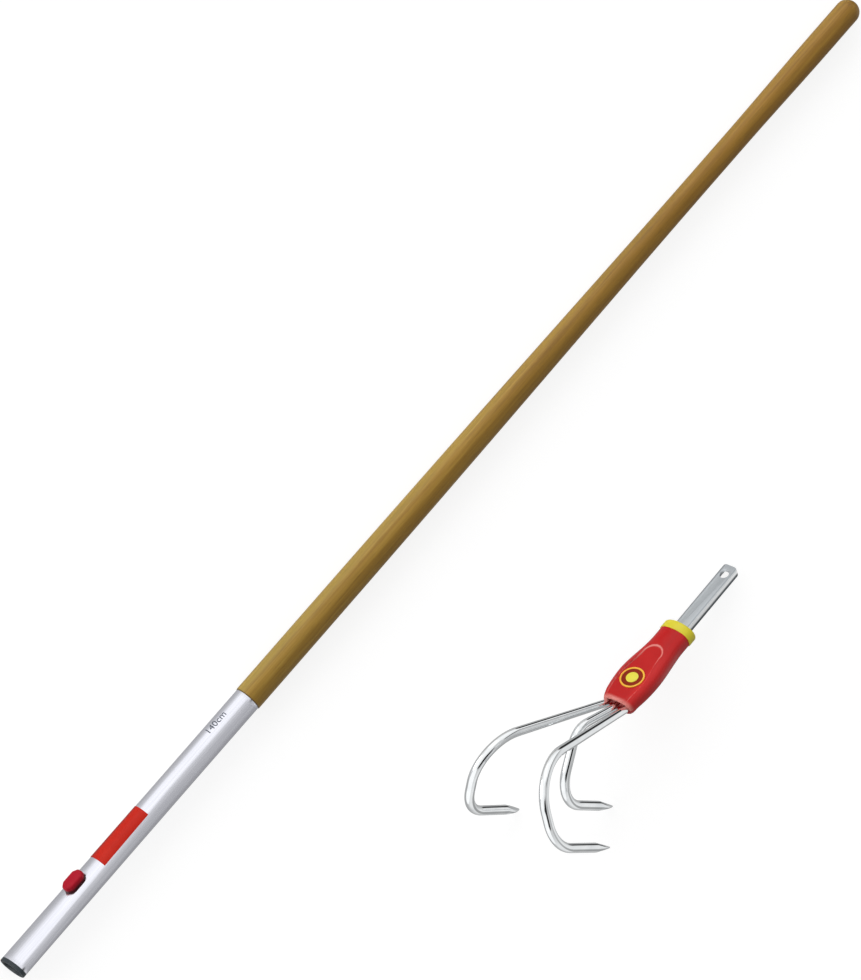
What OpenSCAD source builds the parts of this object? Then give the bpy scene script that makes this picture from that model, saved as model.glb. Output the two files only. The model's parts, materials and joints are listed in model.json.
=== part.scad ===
// Long handled cultivator claw: an ash handle with a push-button socket, and the three-tined head that plugs into it.
// The handle lies along X with its open mouth towards -X, and the head lies beside it, taken off.
// The head rests on two of its claw points and on the end of its tang.

/* [Handle] */
// Whole length, from the mouth of the socket to the top of the pole
handle_len = 1400; // [1000:10:1800]
// Turn of the button away from straight up as the handle lies, in degrees
handle_roll = 56; // [40:1:70]

/* [Ash pole] */
// Diameter at the shoulder, where the pole meets the ferrule
pole_root_d = 31.6; // [30.8:0.2:38]
// Diameter at the waist below the knob
pole_waist_d = 24.8; // [20:0.2:30]
// Diameter of the knob at the top
pole_knob_d = 27.2; // [24:0.2:32]
// Distance from the top of the pole down to the waist
pole_waist_at = 200; // [150:5:300]
// Length of the waist
pole_waist_len = 50; // [20:5:120]
// Distance from the top of the pole down to where the knob is full
pole_knob_at = 55; // [35:1:80]
// Length of the spigot inside the ferrule
spigot_len = 108; // [60:2:112]
// Rounding of the pole's lower shoulder
pole_chamfer = 1.6; // [0.4:0.1:3]

/* [Ferrule] */
// Distance from the mouth of the socket to the pole's shoulder
ferrule_end = 387; // [380:1:440]
// Outer diameter where the ferrule is round
ferrule_d = 30; // [29:0.2:30.6]
// Wall thickness
ferrule_wall = 1.6; // [1.2:0.1:2]
// Width of the oval at the mouth
mouth_w = 36.8; // [34:0.2:40]
// Depth of the oval at the mouth
mouth_h = 24.4; // [23:0.2:27]
// Distance from the mouth over which the oval turns round
oval_len = 255; // [220:5:258]
// Diameter of the two rivets that hold the pole
pole_rivet_d = 4.8; // [3:0.2:6]
// Diameter of the rivet heads
pole_rivet_head_d = 9; // [7:0.5:12]
// Height of the rivet heads
pole_rivet_head_h = 1.4; // [0.8:0.1:2.5]
// Distance between the two rivets
pole_rivet_pitch = 50; // [30:5:70]
// Depth of the rivets in the pole
pole_rivet_depth = 11; // [7:0.5:12]

/* [Label] */
// Distance from the mouth to the middle of the label
label_at = 183.5; // [175:0.5:205]
// Length of the label
label_len = 72.5; // [40:0.5:76]
// Angle that the label covers to each side of the button's line, in degrees
label_half_angle = 48.75; // [30:3.75:60]
// Thickness of the label
label_t = 0.3; // [0.2:0.05:0.6]
// Thickness of the glue under the label
label_glue = 0.1; // [0.05:0.05:0.2]

/* [Socket liner] */
// Length of the liner
liner_len = 60; // [50:1:61]
// Thickness of the rim outside the ferrule
liner_rim_t = 4.5; // [2.5:0.1:6]
// Width of the lead-in at the mouth
lead_w = 29; // [24:0.5:31]
// Depth of the lead-in at the mouth
lead_h = 17; // [12:0.5:18]
// Length of the lead-in
lead_len = 16; // [8:1:30]
// Clearance round the tang in its channel
slot_gap = 0.35; // [0.2:0.05:0.6]
// Clearance of the plastic inserts in the ferrule
insert_gap = 0.2; // [0.1:0.05:0.3]

/* [Push button] */
// Distance from the mouth to the middle of the button
button_at = 113; // [111:0.5:116]
// Length of the button
button_len = 27; // [25:0.5:32]
// Width of the button
button_w = 16; // [13:0.5:17]
// Length of the button's slanted ends
button_end_len = 5.5; // [3:0.5:8]
// Width of each corner that the slanted ends take off
button_end_w = 4.5; // [2:0.5:6]
// Bevel round the button's top
button_bevel = 1.5; // [0.5:0.1:2.5]
// Height of the button above the ferrule
button_proud = 8.5; // [6:0.1:10]
// Travel of the button
button_travel = 3.5; // [2.5:0.1:4]
// Clearance of the button in the ferrule's slot
button_gap = 0.4; // [0.3:0.05:0.6]
// Width of the lip that keeps the button in
lip_w = 19; // [18.2:0.2:20]
// Thickness of the lip
lip_t = 2; // [1.5:0.1:2.5]
// Width of the button's stem
stem_w = 12; // [10:0.5:13]
// Length of the button's stem
stem_len = 25; // [24:0.5:27]
// Height of the spring under the button's stem
spring_h = 9.4; // [8:0.1:10]
// Outer diameter of the spring
spring_d = 9; // [7:0.5:10]
// Thickness of the spring's wire
spring_wire = 0.9; // [0.6:0.1:1.1]
// Number of turns in the spring
spring_turns = 4; // [3:1:5]

/* [Latch] */
// Width of the foot under the tang
foot_w = 12; // [10:0.5:13]
// Thickness of the foot
foot_t = 2; // [1.5:0.1:2.4]
// Length of the foot past the peg
foot_past = 7; // [6:0.5:8]
// Width of the foot's tail in the button's leg
foot_tail_w = 7; // [5:0.5:8]
// Clearance of the peg in the tang's hole
peg_gap = 0.4; // [0.2:0.05:0.8]
// Diameter of the peg's shank in the foot
peg_shank_d = 5; // [4:0.5:7]
// Bevel on the end of the peg
peg_bevel = 1.2; // [0.5:0.1:2]

/* [Tang] */
// Width of the tang
tang_w = 19; // [18:0.2:20]
// Depth of the folded channel
tang_h = 8.4; // [7.8:0.1:9]
// Thickness of the sheet
tang_sheet = 2; // [1.6:0.1:2.2]
// Length of the tang outside the collar
tang_out = 94.5; // [90:0.5:95]
// Radius of the corners at the end of the tang
tang_corner_r = 5; // [3:0.5:6]
// Diameter of the latch hole
hole_d = 10.5; // [9:0.1:11]
// Distance from the end of the tang to the middle of the hole
hole_from_end = 13; // [12:0.5:14]

/* [Collar] */
// Width of the collar
collar_w = 41; // [40:0.5:46]
// Depth of the collar
collar_h = 28.5; // [27:0.5:32]
// Length of the collar along the axis
collar_len = 11.5; // [8:0.5:14]

/* [Sleeve] */
// Length of the sleeve
sleeve_len = 107; // [102:0.5:125]
// Width of the sleeve at the collar
neck_w = 37; // [35:0.5:39]
// Width of the sleeve at its fullest
belly_w = 49; // [47:0.5:56]
// Width of the sleeve at its mouth
sleeve_mouth_w = 38; // [37:0.5:44]
// Depth of the sleeve at the collar
neck_h = 26; // [24:0.5:28]
// Depth of the sleeve at its fullest
belly_h = 27; // [25:0.5:30]
// Depth of the sleeve at its mouth
sleeve_mouth_h = 23; // [21:0.5:26]
// How far the belly is raised above the tines' line
sleeve_lift = 2; // [0:0.1:2.5]
// Length of the rounding at the sleeve's mouth
mouth_round_len = 5; // [2:0.5:6]
// How far that rounding draws the mouth in at each side
mouth_round_side = 1.5; // [0.5:0.1:1.8]
// How far it draws the mouth in at the top and the bottom
mouth_round_top = 3.4; // [0.5:0.1:3.5]
// Depth of the arched panel below the crown
panel_sink = 1.3; // [0.5:0.1:2]
// Width of the panel at its arch
panel_arch_w = 24; // [18:0.5:30]
// Distance from the mouth to the top of the arch
panel_len = 82; // [70:1:95]
// Width of the opening at the mouth
recess_w = 33; // [32.6:0.2:33.6]
// Depth of the opening at the mouth
recess_h = 15; // [13:0.5:17]
// How far the opening goes in
recess_len = 9; // [7:0.5:12]
// Clearance of the pieces moulded into the sleeve
mould_gap = 0.1; // [0.05:0.05:0.2]

/* [Badge] */
// Distance from the sleeve's mouth to the middle of the badge
badge_at = 32.5; // [26:0.5:45]
// Length of the badge along the sleeve
badge_len = 28; // [20:0.5:32]
// Width of the badge
badge_w = 28; // [22:0.5:32]
// Width of the badge's raised rim
badge_rim_w = 2; // [1:0.1:3]
// Thickness of the badge
badge_t = 0.8; // [0.4:0.1:1.2]
// Height of the badge's rim above its field
badge_rim_h = 0.4; // [0.2:0.1:0.8]

/* [Tines] */
// Diameter of the tines at the sleeve
tine_root_d = 8.8; // [7:0.1:9.5]
// Diameter of the tines in the hook
tine_hook_d = 10.8; // [9:0.1:12]
// Distance between the shanks of neighbouring tines
shank_pitch = 11.6; // [11:0.1:12.4]
// Length of the flattened point
point_len = 26; // [15:0.5:35]
// Thickness of the point at its very end
point_end_t = 1.6; // [1:0.1:3]
// Width of the point at its very end
point_end_w = 2.4; // [1:0.1:4]
// Inner bend of a tine as it leaves the sleeve
shank_bend_r = 20; // [15:0.5:26]

/* [Outer tines] */
// Forward reach of the knee
outer_knee_reach = 164.5; // [155:0.5:175]
// Sideways reach of the knee
outer_knee_side = 37.5; // [30:0.5:44]
// Rise of the knee
outer_knee_rise = 95.5; // [90:0.5:101]
// Bend radius of the knee
outer_knee_r = 47; // [40:1:52]
// Forward reach of the hook
outer_hook_reach = 195; // [188:1:202]
// Sideways reach of the hook
outer_hook_side = 60.5; // [55:0.5:66]
// Rise of the hook
outer_hook_rise = 5; // [0:0.5:10]
// Bend radius of the hook
outer_hook_r = 48.5; // [40:0.5:53]
// Forward reach of the point
outer_point_reach = 125.5; // [118:0.5:133]
// Sideways reach of the point
outer_point_side = 62; // [56:0.5:68]
// Drop of the point
outer_point_drop = 68.5; // [64:0.5:74]

/* [Centre tine] */
// Forward reach of the knee
centre_knee_reach = 62.5; // [57:0.5:68]
// Rise of the knee
centre_knee_rise = 30; // [24:1:36]
// Bend radius of the knee
centre_knee_r = 22.5; // [18:0.5:28]
// Forward reach of the hook
centre_hook_reach = 122.5; // [116:0.5:130]
// Drop of the hook
centre_hook_drop = 32.5; // [28:0.5:38]
// Bend radius of the hook
centre_hook_r = 43.5; // [36:0.5:46]
// Forward reach of the point
centre_point_reach = 53; // [47:1:59]
// Drop of the point
centre_point_drop = 110.5; // [105:0.5:116]

/* [Tine carrier] */
// Distance from the sleeve's mouth to the carrier
carrier_from = 16; // [14:0.5:18]
// Length of the carrier's block
carrier_len = 32; // [26:0.5:36]
// Width of the carrier's block
carrier_w = 35; // [34:0.5:36]
// Depth of the carrier's block
carrier_h = 12.4; // [12:0.2:13]
// Length of the carrier's tongue inside the tang
tongue_len = 44; // [38:0.5:50]
// Thickness of the tongue
tongue_t = 4; // [3:0.2:4.6]
// Diameter of the rivets through tang and tongue
carrier_rivet_d = 5; // [4:0.2:6]
// Diameter of the rivets' closed heads
carrier_rivet_head_d = 8; // [7:0.2:9]
// Height of the rivets' closed heads
carrier_rivet_head_h = 1.4; // [0.8:0.1:2]

/* [As it lies] */
// Place of the sleeve's mouth along the handle, from the handle's middle
head_x = -51; // [-200:1:100]
// Distance from the handle's axis to the sleeve's mouth
head_y = 300; // [260:1:400]
// Turn of the head away from the handle's direction, in degrees
head_turn = -1.9; // [-10:0.1:10]

/* [Hidden] */
$fn = 64;
// How far every cut runs past the face that it opens
over = 1;
// Clearance of a rivet or a shank in its hole
pin_gap = 0.05;
// Sides of an oval section, of a tine and of the spring's wire
oval_sides = 48;
tine_sides = 16;
wire_sides = 6;
// Steps along the pole's curve, round its dome, round a bend, round one turn of the spring,
// along the ferrule's oval, along the sleeve, its lip and its panel's edge
pole_steps = 36;
dome_steps = 10;
bend_steps = 9;
turn_steps = 10;
oval_steps = 9;
sleeve_steps = 18;
lip_steps = 4;
arch_steps = 16;
// Fullness of the sleeve's section, where 2 is an ellipse
sleeve_fullness_share = 2.5;
// Where along the sleeve it is fullest, and where its neck begins
belly_share = 0.375;
neck_share = 0.9;
// Shares of the sleeve's length where its lift is full, begins to fall and has gone
lift_full_share = 0.11;
lift_fall_share = 0.3;
lift_gone_share = 0.8;
// How late the pole's taper sets in
pole_taper_share = 1.5;
// Part of the sleeve's width that the panel takes at the belly
panel_belly_share = 0.7;
// Part of the panel's length that is the round of its arch
panel_arch_share = 0.16;
// Part of the badge that its small middle oval takes
badge_eye_share = 0.45;
// Part of the tine's length outside the sleeve over which it grows to the hook's diameter
tine_growth_share = 0.5;
// Swell of the point's width where its flat begins
point_swell_share = 1.12;

// Oval of the ferrule at a distance x from the mouth, as half sizes of its outside
ferrule_r = ferrule_d / 2;
function oval_mix(x) = min(1, max(0, x / oval_len));
function oval_a(x) = mouth_w / 2 + (ferrule_r - mouth_w / 2) * oval_mix(x);
function oval_b(x) = mouth_h / 2 + (ferrule_r - mouth_h / 2) * oval_mix(x);
function bore_a(x) = oval_a(x) - ferrule_wall;
function bore_b(x) = oval_b(x) - ferrule_wall;
function oval_ring(x, a, b) =
    [for (i = [0:oval_sides - 1]) let (t = 360 * i / oval_sides) [x, a * cos(t), b * sin(t)]];

// Levels and places of the push button and its latch, from the handle's axis
tang_top = tang_h / 2;
tang_bottom = -tang_h / 2;
button_top = oval_b(button_at) + button_proud;
lip_len = button_len + lip_w - button_w;
lip_from = button_at - lip_len / 2;
lip_half_w = lip_w / 2;
lip_room = bore_b(lip_from) * sqrt(1 - pow(lip_half_w / bore_a(button_at + lip_len / 2), 2));
lip_top = lip_room - button_gap;
lip_bottom = lip_top - lip_t;
stem_from = button_at - stem_len / 2;
stem_to = button_at + stem_len / 2;
leg_len = stem_len / 3;
foot_top = tang_top - tang_sheet - button_travel + button_gap;
foot_bottom = foot_top - foot_t;
leg_bottom = foot_bottom - foot_t / 2;
spring_at = (stem_from + leg_len + stem_to) / 2;
spring_floor = -bore_b(button_at) + insert_gap + ferrule_wall;
spring_top = spring_floor + spring_h;
// The tang goes in until the collar meets the rim of the liner
peg_at = tang_out - hole_from_end;
peg_d = hole_d - 2 * peg_gap;
foot_from = peg_at - foot_past;
housing_from = liner_len + insert_gap;
housing_to = lip_from + lip_len + foot_past;

// Rows of the pole's outline
pole_root_r = pole_root_d / 2;
pole_waist_r = pole_waist_d / 2;
pole_knob_r = pole_knob_d / 2;
spigot_r = ferrule_r - ferrule_wall - insert_gap;
waist_to = handle_len - pole_waist_at;
waist_from = waist_to - pole_waist_len;
knob_from = handle_len - pole_knob_at;
function ease(t) = t * t * (3 - 2 * t);
function pole_r(x) =
    x < waist_from ? pole_root_r + (pole_waist_r - pole_root_r)
        * ease(pow((x - ferrule_end) / (waist_from - ferrule_end), pole_taper_share)) :
    x < waist_to ? pole_waist_r :
    x < knob_from ? pole_waist_r + (pole_knob_r - pole_waist_r) * ease((x - waist_to) / (knob_from - waist_to)) :
    pole_knob_r;
pole_rivet_from = ferrule_end - spigot_len / 2 - pole_rivet_pitch / 2;

// Half sizes of the sleeve at a share t of its length from the mouth
function belly_rise(t, mouth, belly, neck) =
    t < belly_share ? belly - (belly - mouth) * pow(1 - t / belly_share, 2) :
    neck + (belly - neck) * ease(1 - min(1, (t - belly_share) / (neck_share - belly_share)));
function sleeve_a(t) = belly_rise(t, sleeve_mouth_w, belly_w, neck_w) / 2;
function sleeve_b(t) = belly_rise(t, sleeve_mouth_h, belly_h, neck_h) / 2;
function full(c) = sign(c) * pow(abs(c), 2 / sleeve_fullness_share);
function mouth_in_share(t) = 1 - sqrt(1 - pow(1 - min(1, t * sleeve_len / mouth_round_len), 2));
function step_share(t, from, to) = ease(min(1, max(0, t - from) / (to - from)));
function sleeve_mid(t) =
    sleeve_lift * min(step_share(t, 0, lift_full_share), 1 - step_share(t, lift_fall_share, lift_gone_share));
function sleeve_ring(t) =
    let (drawn = mouth_in_share(t), mid = sleeve_mid(t))
    let (a = sleeve_a(t) - mouth_round_side * drawn, b = sleeve_b(t) - mouth_round_top * drawn)
    [for (i = [0:oval_sides - 1]) let (w = 360 * i / oval_sides)
        [t * sleeve_len, a * full(cos(w)), mid + b * full(sin(w))]];
panel_z = neck_h / 2 - panel_sink;
arch_len = panel_len * panel_arch_share;
arch_from = panel_len - arch_len;
function panel_half_w(x) =
    let (side = sleeve_a(x / sleeve_len) * panel_belly_share)
    x < arch_from ? side - (side - panel_arch_w / 2) * ease(max(0, x / arch_from - belly_share) / (1 - belly_share)) :
    panel_arch_w / 2 * sqrt(max(0, 1 - pow((x - arch_from) / arch_len, 2)));

// Lengths along the head, from the sleeve's mouth towards the tang
collar_top = sleeve_len + collar_len;
tang_end = collar_top + tang_out;
carrier_to = carrier_from + carrier_len;
tang_from = carrier_to + mould_gap;
tongue_to = carrier_to + tongue_len;
tongue_top = tang_top - tang_sheet;
tongue_w = tang_w - 2 * tang_sheet - 2 * mould_gap;
hole_at = tang_end - hole_from_end;

// A bar bent at its corners: each inner corner of the route becomes an arc of its own radius
function unit(v) = v / norm(v);
function bend(a, b, c, r) =
    let (u = unit(a - b), v = unit(c - b), half = acos(u * v) / 2, cut = r / tan(half),
        middle = b + unit(u + v) * r / sin(half), sweep = 180 - 2 * half,
        from = b + u * cut - middle, side = unit(-u))
    [for (i = [0:bend_steps]) let (w = sweep * i / bend_steps) middle + from * cos(w) + side * r * sin(w)];
function bar_route(corners, radii) =
    [corners[0], for (k = [1:len(corners) - 2]) each bend(corners[k - 1], corners[k], corners[k + 1], radii[k - 1])];
// The last straight run is cut into the flattened point
point_steps = 5;
function with_point(route, tip) =
    let (last = route[len(route) - 1], back = unit(last - tip) * point_len)
    [each route, for (k = [0:point_steps]) tip + back * (1 - k / point_steps)];
function run_lengths(pts, k = 0, sum = 0) =
    k >= len(pts) ? [] : let (s = k == 0 ? 0 : sum + norm(pts[k] - pts[k - 1])) [s, each run_lengths(pts, k + 1, s)];
function heading(pts, k) =
    unit(pts[min(k + 1, len(pts) - 1)] - pts[max(k - 1, 0)]);
// Radius, and half width and half thickness of a tine at the distance s along its length
function tine_r(s, whole) =
    let (grow = ease(min(1, max(0, s - carrier_to) / ((whole - carrier_to) * tine_growth_share))))
    (tine_root_d + (tine_hook_d - tine_root_d) * grow) / 2;
function tine_half_w(s, whole) =
    let (r = tine_r(s, whole), p = max(0, 1 - (whole - s) / point_len))
    p <= 0 ? r : (r * (1 + (point_swell_share - 1) * sin(180 * p))) * (1 - pow(p, 3)) + point_end_w / 2 * pow(p, 3);
function tine_half_t(s, whole) =
    let (r = tine_r(s, whole), p = max(0, 1 - (whole - s) / point_len))
    r + (point_end_t / 2 - r) * p;
function tine_rings(pts, across) =
    let (runs = run_lengths(pts), whole = runs[len(runs) - 1])
    [for (k = [0:len(pts) - 1])
        let (dir = heading(pts, k), e1 = unit(across - dir * (across * dir)), e2 = cross(dir, e1),
            w = tine_half_w(runs[k], whole), h = tine_half_t(runs[k], whole))
        [for (i = [0:tine_sides - 1]) let (q = 360 * i / tine_sides) pts[k] + e1 * w * cos(q) + e2 * h * sin(q)]];
// Route of an outer tine, where side is 1 for the left one and -1 for the right one
function outer_rings(side) =
    let (shank = side * shank_pitch,
        corners = [[carrier_to, shank, 0], [0, shank, 0],
            [-outer_knee_reach, side * outer_knee_side, outer_knee_rise],
            [-outer_hook_reach, side * outer_hook_side, outer_hook_rise],
            [-outer_point_reach, side * outer_point_side, -outer_point_drop]],
        route = bar_route(corners, [shank_bend_r, outer_knee_r, outer_hook_r]),
        across = unit(cross(corners[3] - corners[2], corners[4] - corners[3])))
    tine_rings(with_point(route, corners[4]), across);
function centre_rings() =
    let (corners = [[carrier_to, 0, 0], [0, 0, 0],
            [-centre_knee_reach, 0, centre_knee_rise],
            [-centre_hook_reach, 0, -centre_hook_drop],
            [-centre_point_reach, 0, -centre_point_drop]],
        route = bar_route(corners, [shank_bend_r, centre_knee_r, centre_hook_r]))
    tine_rings(with_point(route, corners[4]), [0, 1, 0]);
left_rings = outer_rings(1);
right_rings = outer_rings(-1);
middle_rings = centre_rings();

// How the head rests: the floor touches the left claw, the centre claw and the end of the tang
function flat(rings) = [for (r = rings) each r];
left_skin = flat(left_rings);
middle_skin = flat(middle_rings);
right_skin = flat(right_rings);
tang_feet = [for (y = [-1, 1]) [tang_end - tang_corner_r, y * tang_w / 2, tang_bottom]];
function lowest(pts, up) =
    let (heights = [for (p = pts) p * up], low = min(heights))
    pts[search(low, heights)[0]];
function rest_up(rounds, up) =
    rounds <= 0 ? up :
    let (a = lowest(left_skin, up), b = lowest(middle_skin, up), c = lowest(tang_feet, up))
    rest_up(rounds - 1, unit(cross(b - a, c - a)));
rest_rounds = 8;
head_up = rest_up(rest_rounds, unit([-tang_h, -tang_w, tang_w]));
head_pitch = asin(-head_up[0]);
head_roll = atan2(-head_up[1], head_up[2]);
head_z = -(lowest(left_skin, head_up) * head_up);
function rolled(p) =
    [p[0], p[1] * cos(head_roll) + p[2] * sin(head_roll), p[2] * cos(head_roll) - p[1] * sin(head_roll)];
function pitched(p) =
    [p[0] * cos(head_pitch) + p[2] * sin(head_pitch), p[1], p[2] * cos(head_pitch) - p[0] * sin(head_pitch)];
function lying_y(p) =
    let (q = pitched(rolled(p))) q[0] * sin(head_turn) + q[1] * cos(head_turn);

// The whole part is centred on the origin across the handle
button_edges = [[button_w / 2 - button_bevel, button_top], [button_w / 2, button_top - button_bevel]];
button_reach = max([for (e = button_edges) e[0] * cos(handle_roll) + e[1] * sin(handle_roll)]);
reach_left = max(pole_root_r, button_reach);
reach_right = -head_y + min([for (p = right_skin) lying_y(p)]);
handle_y = -(reach_left + reach_right) / 2;
ferrule_low = sqrt(pow(mouth_w / 2 * sin(handle_roll), 2) + pow(mouth_h / 2 * cos(handle_roll), 2));
handle_z = max(pole_root_r, ferrule_low);

// A closed skin over rings that all have as many points
module skin(rings) {
    n = len(rings[0]);
    m = len(rings);
    sides = [for (k = [0:m - 2], i = [0:n - 1])
        let (j = (i + 1) % n, a = k * n + i, b = k * n + j, c = a + n, d = b + n)
        each [[a, c, d], [a, d, b]]];
    first = [for (i = [0:n - 1]) i];
    last = [for (i = [n - 1:-1:0]) (m - 1) * n + i];
    polyhedron(points = flat(rings), faces = [first, each sides, last], convexity = 8);
}

// A box between two corners
module span(low, high) {
    translate(low)
        cube(high - low);
}

module lay_handle() {
    translate([-handle_len / 2, handle_y, handle_z])
        rotate([-handle_roll, 0, 0])
            children();
}

module lay_head() {
    translate([head_x, handle_y - head_y, head_z])
        rotate([0, 0, head_turn])
            rotate([0, head_pitch, 0])
                rotate([-head_roll, 0, 0])
                    children();
}

// A plain oval plug that follows the ferrule's bore
module bore_plug(from, to, gap) {
    skin([for (x = [from, to]) oval_ring(x, bore_a(x) - gap, bore_b(x) - gap)]);
}

// The way that the tang takes into the socket
module tang_way(from, to) {
    half_w = tang_w / 2 + slot_gap;
    half_h = tang_h / 2 + slot_gap;
    span([from, -half_w, -half_h], [to, half_w, half_h]);
}

// Holes and shanks of the pole's rivets, on the side away from the button
module pole_rivet_shanks(d, low) {
    for (k = [0, 1])
        translate([pole_rivet_from + k * pole_rivet_pitch, 0, -ferrule_r - low])
            cylinder(d = d, h = pole_rivet_depth + low);
}

module ash_pole() {
    curve = [for (k = [0:pole_steps])
        let (x = ferrule_end + pole_chamfer + (handle_len - pole_knob_r - ferrule_end - pole_chamfer) * k / pole_steps)
        [pole_r(x), x]];
    dome = [for (k = [1:dome_steps - 1])
        let (w = 90 * k / dome_steps)
        [pole_knob_r * cos(w), handle_len - pole_knob_r + pole_knob_r * sin(w)]];
    outline = [[0, ferrule_end - spigot_len], [spigot_r, ferrule_end - spigot_len], [spigot_r, ferrule_end],
        [pole_root_r - pole_chamfer, ferrule_end], each curve, each dome, [0, handle_len]];
    color("#a8894a")
        lay_handle()
            difference() {
                rotate([0, 90, 0])
                    rotate_extrude()
                        polygon(outline);
                pole_rivet_shanks(pole_rivet_d + 2 * pin_gap, over);
            }
}

module button_outline(grow) {
    x = button_len / 2 + grow;
    y = button_w / 2 + grow;
    polygon([[-x, -y + button_end_w], [-x + button_end_len, -y], [x - button_end_len, -y], [x, -y + button_end_w],
        [x, y - button_end_w], [x - button_end_len, y], [-x + button_end_len, y], [-x, y - button_end_w]]);
}

module ferrule() {
    along = [for (k = [1:oval_steps]) oval_len * k / oval_steps];
    color("#d9dae2")
        lay_handle()
            difference() {
                skin([for (x = [liner_rim_t, each along, ferrule_end]) oval_ring(x, oval_a(x), oval_b(x))]);
                skin([for (x = [liner_rim_t - over, each along, ferrule_end + over])
                    oval_ring(x, bore_a(x), bore_b(x))]);
                translate([button_at, 0, 0])
                    linear_extrude(height = button_top)
                        button_outline(button_gap);
                pole_rivet_shanks(pole_rivet_d + 2 * pin_gap, over);
            }
}

module ferrule_rivets() {
    color("#b9bcc2")
        lay_handle()
            difference() {
                union() {
                    pole_rivet_shanks(pole_rivet_d, 0);
                    for (k = [0, 1])
                        translate([pole_rivet_from + k * pole_rivet_pitch, 0, -ferrule_r - pole_rivet_head_h])
                            cylinder(d1 = pole_rivet_head_d - pole_rivet_head_h, d2 = pole_rivet_head_d,
                                h = pole_rivet_head_h + ferrule_wall);
                }
                difference() {
                    translate([pole_rivet_from - pole_rivet_head_d, 0, 0])
                        rotate([0, 90, 0])
                            cylinder(r = ferrule_r, h = pole_rivet_pitch + 2 * pole_rivet_head_d);
                    pole_rivet_shanks(pole_rivet_d, over);
                }
            }
}

module label_plate() {
    from = label_at - label_len / 2;
    to = label_at + label_len / 2;
    step = 360 / oval_sides;
    arc = [90 - label_half_angle:step:90 + label_half_angle];
    corners = [[from, label_glue], [to, label_glue], [to, label_glue + label_t], [from, label_glue + label_t]];
    color("#d2331f")
        lay_handle()
            skin([for (t = arc)
                [for (c = corners) [c[0], (oval_a(c[0]) + c[1]) * cos(t), (oval_b(c[0]) + c[1]) * sin(t)]]]);
}

module socket_liner() {
    lead = [for (x = [-over, 0]) oval_ring(x, lead_w / 2, lead_h / 2)];
    throat = oval_ring(lead_len, tang_w / 2, tang_h / 2);
    color("#2a3a40")
        lay_handle()
            difference() {
                union() {
                    bore_plug(liner_rim_t, liner_len, insert_gap);
                    skin([for (x = [0, liner_rim_t]) oval_ring(x, oval_a(x), oval_b(x))]);
                }
                skin([each lead, throat]);
                tang_way(-over, liner_len + over);
            }
}

module latch_housing() {
    lip_y = lip_half_w + button_gap;
    stem_y = stem_w / 2 + button_gap;
    foot_y = foot_w / 2 + button_gap;
    color("#2a3a40")
        lay_handle()
            difference() {
                bore_plug(housing_from, housing_to, insert_gap);
                span([lip_from - button_gap, -lip_y, lip_bottom - button_travel - button_gap],
                    [lip_from + lip_len + button_gap, lip_y, button_top]);
                span([stem_from - button_gap, -stem_y, spring_floor], [stem_to + button_gap, stem_y, button_top]);
                tang_way(housing_from - over, tang_out + slot_gap);
                span([foot_from - button_gap, -foot_y, foot_bottom - button_travel - button_gap],
                    [stem_from, foot_y, tang_top]);
            }
}

module latch_spring() {
    coil_r = (spring_d - spring_wire) / 2;
    wire_r = spring_wire / 2;
    low = spring_floor + wire_r + pin_gap;
    high = spring_top - wire_r - button_gap;
    steps = spring_turns * turn_steps;
    rings = [for (k = [0:steps])
        let (w = 360 * k / turn_steps, z = low + (high - low) * k / steps)
        [for (i = [0:wire_sides - 1]) let (q = 360 * i / wire_sides)
            [spring_at + (coil_r + wire_r * cos(q)) * cos(w), (coil_r + wire_r * cos(q)) * sin(w),
                z - wire_r * sin(q)]]];
    color("#8d9196")
        lay_handle()
            skin(rings);
}

module latch_button() {
    bevel_from = button_top - button_bevel;
    tail_y = foot_tail_w / 2 + pin_gap;
    color("#b11b2b")
        lay_handle()
            difference() {
                union() {
                    translate([button_at, 0, 0]) {
                        translate([0, 0, lip_top])
                            linear_extrude(height = bevel_from - lip_top)
                                button_outline(0);
                        hull() {
                            translate([0, 0, bevel_from - pin_gap])
                                linear_extrude(height = pin_gap)
                                    button_outline(0);
                            translate([0, 0, button_top - pin_gap])
                                linear_extrude(height = pin_gap)
                                    button_outline(-button_bevel);
                        }
                    }
                    span([lip_from, -lip_half_w, lip_bottom], [lip_from + lip_len, lip_half_w, lip_top]);
                    span([stem_from, -stem_w / 2, spring_top], [stem_to, stem_w / 2, lip_bottom]);
                    span([stem_from, -stem_w / 2, leg_bottom], [stem_from + leg_len, stem_w / 2, lip_bottom]);
                }
                span([stem_from - over, -tail_y, foot_bottom - pin_gap],
                    [stem_from + leg_len + over, tail_y, foot_top + pin_gap]);
            }
}

module latch_foot() {
    color("#9a9ea3")
        lay_handle()
            difference() {
                union() {
                    span([foot_from, -foot_w / 2, foot_bottom], [stem_from - pin_gap, foot_w / 2, foot_top]);
                    span([foot_from, -foot_tail_w / 2, foot_bottom],
                        [stem_from + leg_len, foot_tail_w / 2, foot_top]);
                }
                translate([peg_at, 0, foot_bottom - over])
                    cylinder(d = peg_shank_d + 2 * pin_gap, h = foot_t + 2 * over);
            }
}

module latch_peg() {
    color("#b4b9bc")
        lay_handle()
            translate([peg_at, 0, 0]) {
                translate([0, 0, foot_bottom])
                    cylinder(d = peg_shank_d, h = foot_t);
                translate([0, 0, foot_top])
                    cylinder(d = peg_d, h = tang_top - peg_bevel - foot_top);
                translate([0, 0, tang_top - peg_bevel])
                    cylinder(d1 = peg_d, d2 = peg_d - 2 * peg_bevel, h = peg_bevel);
            }
}

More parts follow.
